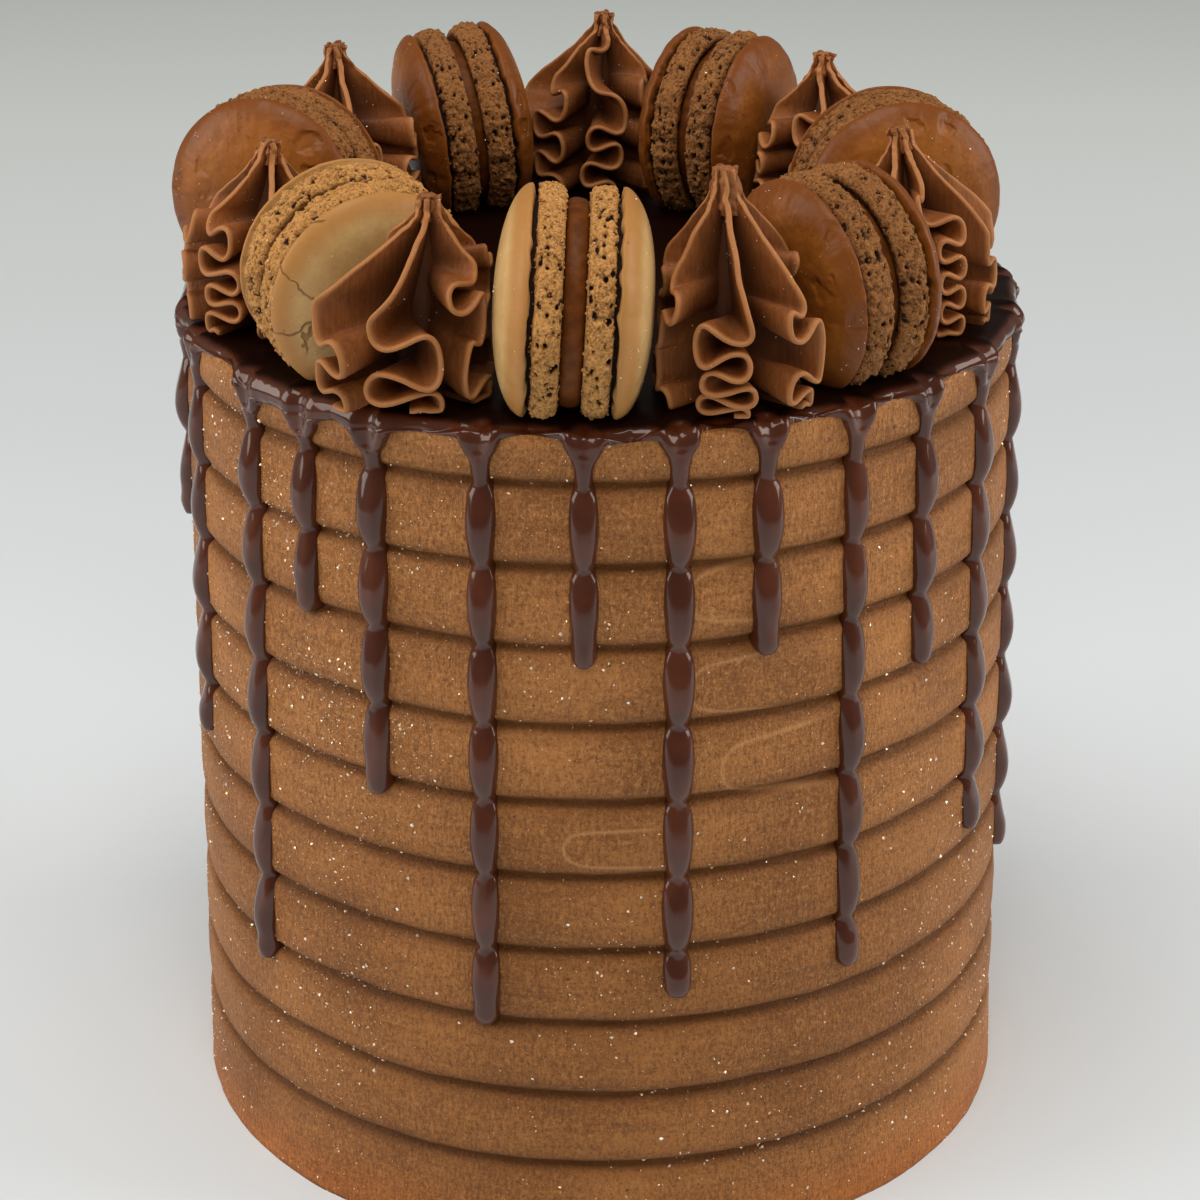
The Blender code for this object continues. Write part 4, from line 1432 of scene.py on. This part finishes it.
@dataclass
class Swirl:
    """A piped swirl: seven fins from a ragged tip, straight at first and then folded like ribbon."""

    number: int
    ring_radius: float
    azimuth: float
    height: float
    radius: float
    shoulder: float
    fin_turn: float
    lean: float
    seed: int
    shown: dict[int, Fin]
    foot_level: float = 167.4
    fin_count: int = 7
    straight_rows: int = 34
    strand_rows: int = 14
    columns: int = 10
    thickness: float = 1.05
    tip_radius: float = 2.2
    roundness: float = 0.85
    easing: float = 0.45
    first_swing: float = 0.75
    tip_share: float = 0.13
    tip_width: float = 1.75
    macaron_gap: float = 0.75
    core_share: float = 0.24

    def fins(self) -> list[Fin]:
        """Return the swirl's fins: those that the part names, and draws for the others."""
        draw = random.Random(self.seed)
        made = []
        for index in range(self.fin_count):
            drawn = Fin(draw.uniform(0.98, 1.10), self._drawn_turns(draw))
            fin = self.shown.get(index, drawn)
            made.append(Fin(fin.spread, fin.turns + ((1.0, 0.0, 0.0),)))
        return made

    def _drawn_turns(self, draw: random.Random) -> tuple[Turn, ...]:
        """Return the turns of a fin that the photo doesn't show."""
        start = draw.uniform(0.30, 0.46)
        strands = draw.choice((4, 5, 6))
        reach = draw.uniform(3.8, 5.6)
        side = draw.choice((-1, 1))
        bend = 0.55 * (1.0 - start) * self.height / strands
        turns = []
        for index in range(strands):
            travel = index / strands
            share = start + (1.0 - start) * (travel + self.easing * math.sin(math.pi * travel) / math.pi)
            swing = self.first_swing if index == 0 else draw.uniform(0.75, 1.15)
            turns.append((share, side * reach * swing, bend))
            side = -side
        return tuple(turns)

    def flare(self, share: np.ndarray) -> np.ndarray:
        """Return the outer radius as a share of the greatest, from the tip at 0 to the foot at 1."""
        climb = np.clip((share - 0.06) / (self.shoulder - 0.06), 0.0, 1.0)
        rise = 0.55 * climb * climb * (3.0 - 2.0 * climb) + 0.45 * climb
        return rise * (1.0 - 0.16 * np.maximum(0.0, (share - 0.72) / 0.28) ** 2)

    def envelope(self, share: np.ndarray, spread: float = 1.0) -> np.ndarray:
        """Return the outer radius in millimetres at shares of the way down."""
        flare = self.flare(share)
        return (self.tip_radius + (self.radius - self.tip_radius) * flare) * (1.0 + (spread - 1.0) * flare)

    def path(self, fin: Fin) -> np.ndarray:
        """Return a fin edge's rows as (share of the way down, sideways shift, rise)."""
        part = np.arange(self.straight_rows) / self.straight_rows
        share, sideways, _ = fin.turns[0]
        pieces = [np.stack([share * part, sideways * part**2.2, part * 0.0], axis=1)]
        part = np.arange(self.strand_rows) / self.strand_rows
        for upper, lower in zip(fin.turns, fin.turns[1:]):
            down = upper[0] + (lower[0] - upper[0]) * part
            shift = upper[1] + (lower[1] - upper[1]) * (1.0 - np.cos(math.pi * part)) / 2.0
            bend = np.where(part < 0.5, upper[2], lower[2]) / 2.0
            rise = -self.roundness * bend * np.sin(FULL_TURN * part)
            pieces.append(np.stack([down, shift, rise], axis=1))
        rows = np.concatenate([*pieces, [fin.turns[-1]]])
        padded = np.pad(rows, ((2, 2), (0, 0)), "edge")
        weights = np.array([1.0, 2.0, 3.0, 2.0, 1.0]) / 9.0
        return sum(weight * padded[step : step + len(rows)] for step, weight in enumerate(weights))

    def centre(self) -> np.ndarray:
        """Return the middle of the swirl's foot in millimetres."""
        turn = np.array([math.radians(self.azimuth)])
        return ring_points(turn, self.ring_radius, self.foot_level)[0]

    def _spots(self, index: int, fin: Fin, rows: np.ndarray, out: np.ndarray) -> np.ndarray:
        """Return points of a fin's sheet about the swirl's foot, at shares of the way out for each row."""
        inner = 0.6
        outer = self.envelope(rows[:, 0], fin.spread)[:, None]
        base = math.radians(self.fin_turn - 90.0) + FULL_TURN * index / self.fin_count
        reach = inner + (outer - inner) * out
        angle = base + rows[:, 1, None] * out**1.1 / np.maximum(reach, 5.0)
        level = self.height * (1.0 - rows[:, 0, None]) + rows[:, 2, None] * out
        lean = self.lean * (1.0 - rows[:, 0, None]) ** 1.5
        return np.stack([reach * np.cos(angle) + lean, reach * np.sin(angle), level], axis=2)

    def _room(self, index: int, fin: Fin, rows: np.ndarray, macarons: Macarons) -> np.ndarray:
        """Return how far out each row of a fin may reach before it meets a macaron."""
        steps = 30
        out = np.linspace(0.0, 1.0, steps)[None, :] * np.ones((len(rows), 1))
        spots = (self._spots(index, fin, rows, out).reshape(-1, 3) + self.centre()) * MM
        held = macarons.covers(spots, self.macaron_gap).reshape(len(rows), steps)
        first = np.where(held.any(axis=1), held.argmax(axis=1), steps)
        room = np.clip((first - 1.0) / (steps - 1.0), 0.15, 1.0)
        padded = np.pad(room, 3, "edge")
        least = np.min([padded[step : step + len(room)] for step in range(7)], axis=0)
        padded = np.pad(least, 3, "edge")
        return np.mean([padded[step : step + len(room)] for step in range(7)], axis=0)

    def sheet(
        self, index: int, fin: Fin, noise: Noise, macarons: Macarons
    ) -> tuple[np.ndarray, np.ndarray, int]:
        """Return the points of a fin's middle sheet about the foot, how near its edge, and its rows."""
        rows = self.path(fin)
        out = np.linspace(0.0, 1.0, self.columns)[None, :]
        room = self._room(index, fin, rows, macarons)[:, None]
        points = self._spots(index, fin, rows, out * room).reshape(-1, 3)
        edges = np.tile(out[0], len(rows))
        shares = np.repeat(rows[:, 0], self.columns)
        ragged = 1.0 - smooth_step(0.03, 0.24, shares)
        rough = np.stack([noise.layered(points / 1.5 + 40.0 * axis, 2) for axis in range(3)], axis=1)
        broad = np.stack([noise.layered(points / 6.0 + 20.0 * axis, 2) for axis in range(3)], axis=1)
        points += rough * (0.10 + 0.75 * ragged[:, None]) * edges[:, None]
        points += broad * 0.45 * edges[:, None]
        points[:, 2] = np.maximum(points[:, 2], 0.45)
        return points, edges, len(rows)

    def build(self, macarons: Macarons, material: bpy.types.Material) -> bpy.types.Object:
        """Make the swirl, pressed in where a macaron stands against it."""
        noise = Noise(500 + self.number)
        points, marks, faces = [], [], []
        total = 0
        for index, fin in enumerate(self.fins()):
            spots, edges, rows = self.sheet(index, fin, noise, macarons)
            faces += strips(rows, self.columns, total)
            points.append(spots)
            marks.append(edges)
            total += len(spots)
        placed = (np.concatenate(points) + self.centre()) * MM
        name = f"swirl_{self.number + 1}_piping"
        # The edge mark tells the piped finish where to paint shade at the fins' roots and a highlight along
        # their edges.
        sheets = make_object(name, placed, faces, material, {"edge": np.concatenate(marks)}, False)
        wall = sheets.modifiers.new("Wall", "SOLIDIFY")
        wall.thickness = self.thickness * MM
        wall.offset = 0.0
        soft = sheets.modifiers.new("Soft", "SUBSURF")
        soft.levels = 1
        soft.render_levels = 1
        settle(sheets)
        sheets.name = name
        return weld([sheets, self._core(material), self._tip(noise, material)])

    def _tube(
        self,
        name: str,
        levels: np.ndarray,
        reaches: np.ndarray,
        steps: int,
        material: bpy.types.Material,
        edge: float = 0.2,
    ) -> bpy.types.Object:
        """Make a closed column about the swirl's axis from a reach for each level and step."""
        turns = ring_turns(steps)
        rows = []
        for level, reach in zip(levels, reaches):
            lean = self.lean * (level / self.height) ** 1.5
            rows.append(ring_points(turns, reach, level) + (lean, 0.0, 0.0))
        caps = np.array([rows[0].mean(axis=0), rows[-1].mean(axis=0)])
        caps[:, 2] += (0.3, -0.2)
        points = np.concatenate([*rows, caps]) + self.centre()
        # The edge mark sets the piped finish's painted shade, low on the core, and painted highlight, high
        # on the tip.
        marks = {"edge": np.full(len(points), edge)}
        return make_object(name, points * MM, closed_column(len(levels), steps), material, marks)

    def _core(self, material: bpy.types.Material) -> bpy.types.Object:
        """Make the solid middle that the fins stand on."""
        shares = np.linspace(0.10, 0.985, 26)
        steps = 28
        reach = self.envelope(shares)[:, None] * self.core_share * np.ones((len(shares), steps))
        return self._tube(f"core_{self.number}", self.height * (1.0 - shares), reach, steps, material)

    def _tip(self, noise: Noise, material: bpy.types.Material) -> bpy.types.Object:
        """Make the ragged column where the nozzle was pulled away."""
        shares = np.linspace(0.004, self.tip_share, 18)
        steps = 42
        turns = ring_turns(steps)
        rows = []
        for share in shares:
            body = self.tip_width * min(1.0, 0.62 + 3.5 * share)
            spots = ring_points(turns, self.tip_radius, share * self.height)
            ridges = 0.34 * np.cos(turns * self.fin_count - math.radians(self.fin_turn))
            rows.append(body + ridges + 0.75 * noise.layered(spots / 1.1, 3))
        levels = self.height * (1.0 - shares)
        return self._tube(f"tip_{self.number}", levels, np.array(rows), steps, material, 0.93)


def piped_swirls() -> list[Swirl]:
    """Return the seven swirls with the part's own numbers."""
    rows = (
        (69.2, -118.3, 35.0, 16.4, 0.45, 0.0, 3.7),
        (67.3, -69.8, 40.6, 16.4, 0.58, 0.0, -2.0),
        (63.1, -20.8, 36.2, 15.6, 0.50, 12.0, -4.2),
        (60.6, 39.0, 34.6, 16.0, 0.52, 31.0, -2.4),
        (64.5, 91.0, 36.6, 15.8, 0.50, 7.0, 2.0),
        (64.8, 143.5, 36.4, 16.0, 0.48, 22.0, -0.6),
        (66.0, -160.0, 34.0, 15.8, 0.52, 17.0, 2.0),
    )
    seeds = (8, 3, 12, 21, 34, 40, 27)
    front_left = {
        0: Fin(1.0, ((0.53, -8.5, 6.5), (0.73, 5.9, 9.0), (0.88, -8.4, 5.0), (0.95, 6.6, 4.5))),
        1: Fin(1.0, (
            (0.3, 1.3, 4.0), (0.42, -8.0, 4.5), (0.5, 0.8, 7.0), (0.83, -4.0, 8.0),
            (0.95, 5.0, 4.0),
        )),
        2: Fin(1.0, (
            (0.26, 1.5, 3.0), (0.33, -2.0, 3.0), (0.42, 3.0, 5.0), (0.64, -5.0, 5.0),
            (0.86, 4.0, 4.0),
        )),
        6: Fin(1.25, ((0.48, -3.0, 10.0), (0.74, 6.0, 3.0), (0.8, -1.5, 5.0), (0.96, 4.5, 3.0))),
    }
    front_right = {
        0: Fin(1.0, (
            (0.61, 3.6, 3.0), (0.67, -7.6, 8.5), (0.755, 2.8, 4.0), (0.85, -6.3, 3.6),
            (0.9, 3.9, 3.3), (0.945, -7.0, 3.4), (0.975, 2.5, 2.4),
        )),
        1: Fin(1.1, (
            (0.52, -0.6, 3.0), (0.585, -5.8, 4.0), (0.73, 3.3, 11.0), (0.9, -5.0, 4.0),
            (0.95, 2.5, 3.0),
        )),
        2: Fin(1.0, (
            (0.35, 0.0, 4.0), (0.42, -6.0, 3.0), (0.53, 5.0, 5.0), (0.7, -4.0, 5.0),
            (0.88, 4.0, 4.0),
        )),
        5: Fin(1.0, (
            (0.38, -0.5, 5.0), (0.5, 6.0, 3.0), (0.65, -3.0, 5.0), (0.8, 4.0, 4.0),
            (0.92, -3.0, 3.0),
        )),
        6: Fin(1.05, (
            (0.4, -0.5, 4.0), (0.54, 4.5, 3.0), (0.63, -3.0, 4.0), (0.86, -5.0, 5.0),
            (0.97, 0.5, 3.0),
        )),
    }
    right = {
        0: Fin(1.0, (
            (0.25, 1.0, 4.0), (0.35, -1.6, 4.0), (0.45, 6.6, 4.0), (0.53, 0.4, 3.0),
            (0.63, 5.6, 3.4), (0.7, 0.2, 3.0), (0.78, 5.2, 3.0), (0.86, 0.2, 3.0),
            (0.94, 5.6, 3.0),
        )),
        1: Fin(1.0, (
            (0.6, -1.0, 3.0), (0.72, 3.0, 4.0), (0.84, -3.0, 4.0), (0.94, 2.0, 3.0),
        )),
        2: Fin(1.05, (
            (0.62, -1.9, 3.0), (0.74, 3.0, 4.0), (0.86, -3.0, 4.0), (0.95, 2.0, 3.0),
        )),
    }
    back_right = {
        0: Fin(1.0, (
            (0.24, 2.6, 3.0), (0.36, -3.5, 5.0), (0.5, 4.5, 5.0), (0.64, -4.0, 5.0),
            (0.78, 4.0, 4.0), (0.9, -3.0, 3.0),
        )),
        5: Fin(1.05, (
            (0.32, -4.6, 6.0), (0.44, 4.6, 4.0), (0.52, -4.0, 3.5), (0.6, 4.0, 3.5),
            (0.68, -4.0, 3.5), (0.77, 4.0, 3.5), (0.86, -4.0, 3.0), (0.95, 3.0, 3.0),
        )),
        6: Fin(1.0, (
            (0.28, 2.0, 4.0), (0.38, -4.0, 5.0), (0.5, 4.5, 5.0), (0.6, -4.0, 4.0),
            (0.7, 4.0, 4.0), (0.8, -4.5, 4.0), (0.92, 3.0, 3.0),
        )),
    }
    back = {
        0: Fin(1.0, (
            (0.14, 1.2, 2.0), (0.26, -4.0, 5.0), (0.52, 4.5, 5.0), (0.62, -4.0, 4.0),
            (0.73, 4.0, 4.0), (0.84, -5.0, 4.0), (0.94, 3.0, 3.0),
        )),
        1: Fin(1.0, (
            (0.3, 3.0, 4.0), (0.42, -4.0, 5.0), (0.54, 4.5, 4.0), (0.66, -4.0, 4.0),
            (0.78, 4.0, 4.0), (0.9, -3.0, 3.0),
        )),
        6: Fin(1.0, (
            (0.34, -3.4, 5.0), (0.46, 4.5, 5.0), (0.58, -4.0, 4.0), (0.7, 5.0, 5.0),
            (0.81, -3.5, 4.0), (0.92, 4.0, 3.0),
        )),
    }
    back_left = {
        0: Fin(1.0, (
            (0.42, -2.0, 4.0), (0.56, 4.0, 5.0), (0.7, -4.0, 5.0), (0.83, 4.0, 4.0),
            (0.94, -2.0, 3.0),
        )),
        1: Fin(1.0, (
            (0.38, 6.0, 7.0), (0.48, 0.0, 5.0), (0.57, 6.0, 4.0), (0.67, -4.0, 4.0),
            (0.79, 5.0, 4.0), (0.9, -4.0, 4.0),
        )),
    }
    left = {
        5: Fin(1.0, (
            (0.34, -4.0, 5.0), (0.46, 4.0, 5.0), (0.57, -4.0, 4.0), (0.68, 4.0, 4.0),
            (0.8, -4.0, 4.0), (0.92, 3.0, 3.0),
        )),
        6: Fin(1.0, (
            (0.37, -6.0, 6.0), (0.47, 3.5, 5.0), (0.58, -4.0, 4.0), (0.67, 6.0, 3.5),
            (0.76, -2.0, 3.5), (0.84, 6.0, 3.0), (0.93, -3.0, 3.0),
        )),
    }
    shown = (front_left, front_right, right, back_right, back, back_left, left)
    made = [Swirl(number, *row, seeds[number], shown[number]) for number, row in enumerate(rows)]
    made[1].tip_share = 0.20
    made[1].tip_width = 2.5
    return made


# Glitter


@dataclass
class Glitter:
    """Fine flakes of edible glitter, scattered over a surface in drifts."""

    name: str
    density: float
    smallest: float
    largest: float
    seed: int
    drift_scale: float = 26.0
    low: float = 0.46
    high: float = 0.66
    middle: tuple[float, float, float] = (-0.045, -0.068, 0.128)
    spread: float = 0.055
    gather: float = 0.0

    def tree(self, material: bpy.types.Material) -> Geometry:
        """Return the tree that scatters the flakes."""
        made = Geometry(self.name, {
            "Density": self.density,
            "Smallest": self.smallest,
            "Largest": self.largest,
            "Seed": self.seed,
        })
        spot = made.node("GeometryNodeInputPosition")
        drift = made.noise(spot, self.drift_scale, 2.0).ramp(self.low, self.high) + 0.10
        x, y, z = made.split(spot)
        apart = [part - centre for part, centre in zip((x, y, z), self.middle)]
        far = (apart[0] * apart[0] + apart[1] * apart[1] + apart[2] * apart[2]).root()
        drift = drift * ((1.0 - far.ramp(self.spread * 0.3, self.spread)) * self.gather + 1.0)
        flake = made.node("GeometryNodeMeshUVSphere", None, {"Radius": 1.15, "Segments": 4, "Rings": 2})
        smallest, largest = made.given("Smallest"), made.given("Largest")
        size = smallest + (largest - smallest) * made.lot(0.0, 1.0) ** 3.0
        made.close(made.scatter(flake, drift * made.given("Density"), size, (1.0, 1.0, 0.4)), material)
        return made


# The studio


@dataclass
class Studio:
    """The pale floor, the soft lights and the camera."""

    camera_distance: float = 646.0 * MM
    aim_height: float = 99.3 * MM
    aim_side: float = 0.3 * MM
    down_angle: float = 23.92
    roll: float = 0.07
    focal_length: float = 96.0
    floor_colour: Colour = (0.725, 0.800, 0.870)
    far_painted_light_colour: Colour = (0.870, 0.970, 1.000)
    floor_rings: tuple[float, ...] = (4.0, 1.0, 0.5, 0.2, 0.005)
    warmth: Colour = (1.0, 0.93, 0.85)

    def build(self) -> None:
        """Make the studio."""
        self._floor()
        self._light("left", (-1.00, -0.15, 0.55), 0.75, 6.8)
        self._light("right", (1.00, -0.05, 0.55), 0.75, 7.2)
        self._light("over", (-0.10, -0.30, 1.25), 0.75, 7.8)
        self._light("front", (0.05, -1.10, 1.05), 0.60, 3.3, False)
        self._camera()
        world = bpy.data.worlds.new("soft_room")
        bpy.context.scene.world = world
        world.use_nodes = True
        background = world.node_tree.nodes["Background"]
        background.inputs["Color"].default_value = (*self.warmth, 1.0)
        background.inputs["Strength"].default_value = 0.16
        bpy.context.scene.view_settings.view_transform = "Standard"

    def _floor(self) -> None:
        """Make the round floor, wide enough for a view from any side."""
        steps = 96
        rows = [ring_points(ring_turns(steps), reach, 0.0) for reach in self.floor_rings]
        faces = strips(len(rows), steps, 0, True)
        floor = make_object("floor", np.concatenate(rows), faces, self._floor_finish(), None, False)

    def _floor_finish(self) -> bpy.types.Material:
        """Return the floor's finish: pale, and paler still far behind the cake as painted light, where less
        light falls.
        """
        made = Surface("floor_finish")
        place = made.place()
        _, y, _ = made.split(place)
        tone = made.noise(place, 3.0, 2.0)
        share = (y + tone * 0.05).ramp(0.35, 0.85)
        colour = made.mix(self.floor_colour, self.far_painted_light_colour, share)
        return made.dress(Base_Color=colour, Roughness=0.75 + tone * 0.1)

    def _light(
        self, name: str, place: Sequence[float], size: float, power: float, mirrored: bool = True
    ) -> None:
        """Add a square soft light that points at the cake, and say whether gloss mirrors it."""
        lamp = bpy.data.lights.new(name, "AREA")
        lamp.size = size
        lamp.energy = power
        lamp.color = self.warmth
        made = bpy.data.objects.new(name, lamp)
        bpy.context.scene.collection.objects.link(made)
        made.location = place
        aim = Vector((0.0, 0.0, 0.1)) - Vector(place)
        made.rotation_euler = aim.to_track_quat("-Z", "Y").to_euler()
        made.visible_glossy = mirrored

    def _camera(self) -> None:
        """Place the camera in front of the cake and above it, at the photograph's viewing angle."""
        lens = bpy.data.cameras.new("camera")
        lens.lens = self.focal_length
        lens.sensor_width = 36.0
        lens.clip_start = 0.01
        made = bpy.data.objects.new("camera", lens)
        bpy.context.scene.collection.objects.link(made)
        down = math.radians(self.down_angle)
        made.location = (
            self.aim_side,
            -self.camera_distance * math.cos(down),
            self.aim_height + self.camera_distance * math.sin(down),
        )
        made.rotation_euler = (QUARTER_TURN - down, math.radians(self.roll), 0.0)
        bpy.context.scene.camera = made


def build_toppings() -> list[bpy.types.Object]:
    """Make the macarons and the swirls, and return them."""
    tan = ShellFinish(
        "tan_shell_finish",
        pale=(0.632, 0.417, 0.180),
        deep=(0.500, 0.297, 0.109),
        rim=(0.380, 0.160, 0.034),
        crumb=(0.640, 0.330, 0.102),
        crumb_deep=(0.190, 0.072, 0.018),
        gloss=0.38,
    )
    cracked = replace(tan, name="cracked_shell_finish", cracks=True)
    brown = ShellFinish(
        "brown_shell_finish",
        pale=(0.320, 0.108, 0.017),
        deep=(0.195, 0.056, 0.007),
        rim=(0.165, 0.046, 0.006),
        crumb=(0.350, 0.150, 0.044),
        crumb_deep=(0.095, 0.032, 0.009),
        gloss=0.34,
        shaded_pits=0.16,
        dents=0.30,
    )
    finishes = {Slot.TAN_SHELL: tan.material(), Slot.BROWN_SHELL: brown.material()}
    cracked_finish = cracked.material()
    filling = FillingFinish().material()
    piped = PipedFinish().material()
    macarons = Macarons()
    made = []
    for number in range(len(macarons.places)):
        light = number in macarons.tan
        slot = Slot.TAN_SHELL if light else Slot.BROWN_SHELL
        for side, node in ((1, "shell_near"), (-1, "shell_far")):
            finish = cracked_finish if number == macarons.cracked else finishes[slot]
            shell = macarons.shell(number, side, finish)
            hand_over(shell, slot.value, f"macaron_{number + 1}_{node}")
            made.append(shell)
        cream = macarons.filling(number, filling)
        hand_over(cream, Slot.FILLING.value, f"macaron_{number + 1}_filling")
    for swirl in piped_swirls():
        piece = swirl.build(macarons, piped)
        hand_over(piece, Slot.PIPED_CREAM.value, f"swirl_{swirl.number + 1}")
        made.append(piece)
    return made


def main() -> None:
    """Build the cake and the studio."""
    logging.basicConfig(level=logging.INFO, format="%(message)s")
    body = CakeBody()
    cake = body.build(ButtercreamFinish())
    hand_over(cake, Slot.BUTTERCREAM.value, "cake")
    chocolate = PouredChocolate(body).build(ChocolateFinish())
    hand_over(chocolate, Slot.CHOCOLATE.value, "ganache")
    toppings = build_toppings()
    glitter = GlitterFinish().material()
    side = Glitter("glitter_on_side", 190000.0, 0.10 * MM, 0.40 * MM, 3, gather=2.5)
    hand_over(side.tree(glitter).run(cake, "glitter_on_side"), None)
    for index, piece in enumerate(toppings):
        fine = Glitter("glitter_on_toppings", 130000.0, 0.07 * MM, 0.20 * MM, 20 + index, 60.0)
        hand_over(fine.tree(glitter).run(piece, f"glitter_on_topping_{index + 1}"), None)
    Studio().build()


if __name__ == "__main__":
    main()
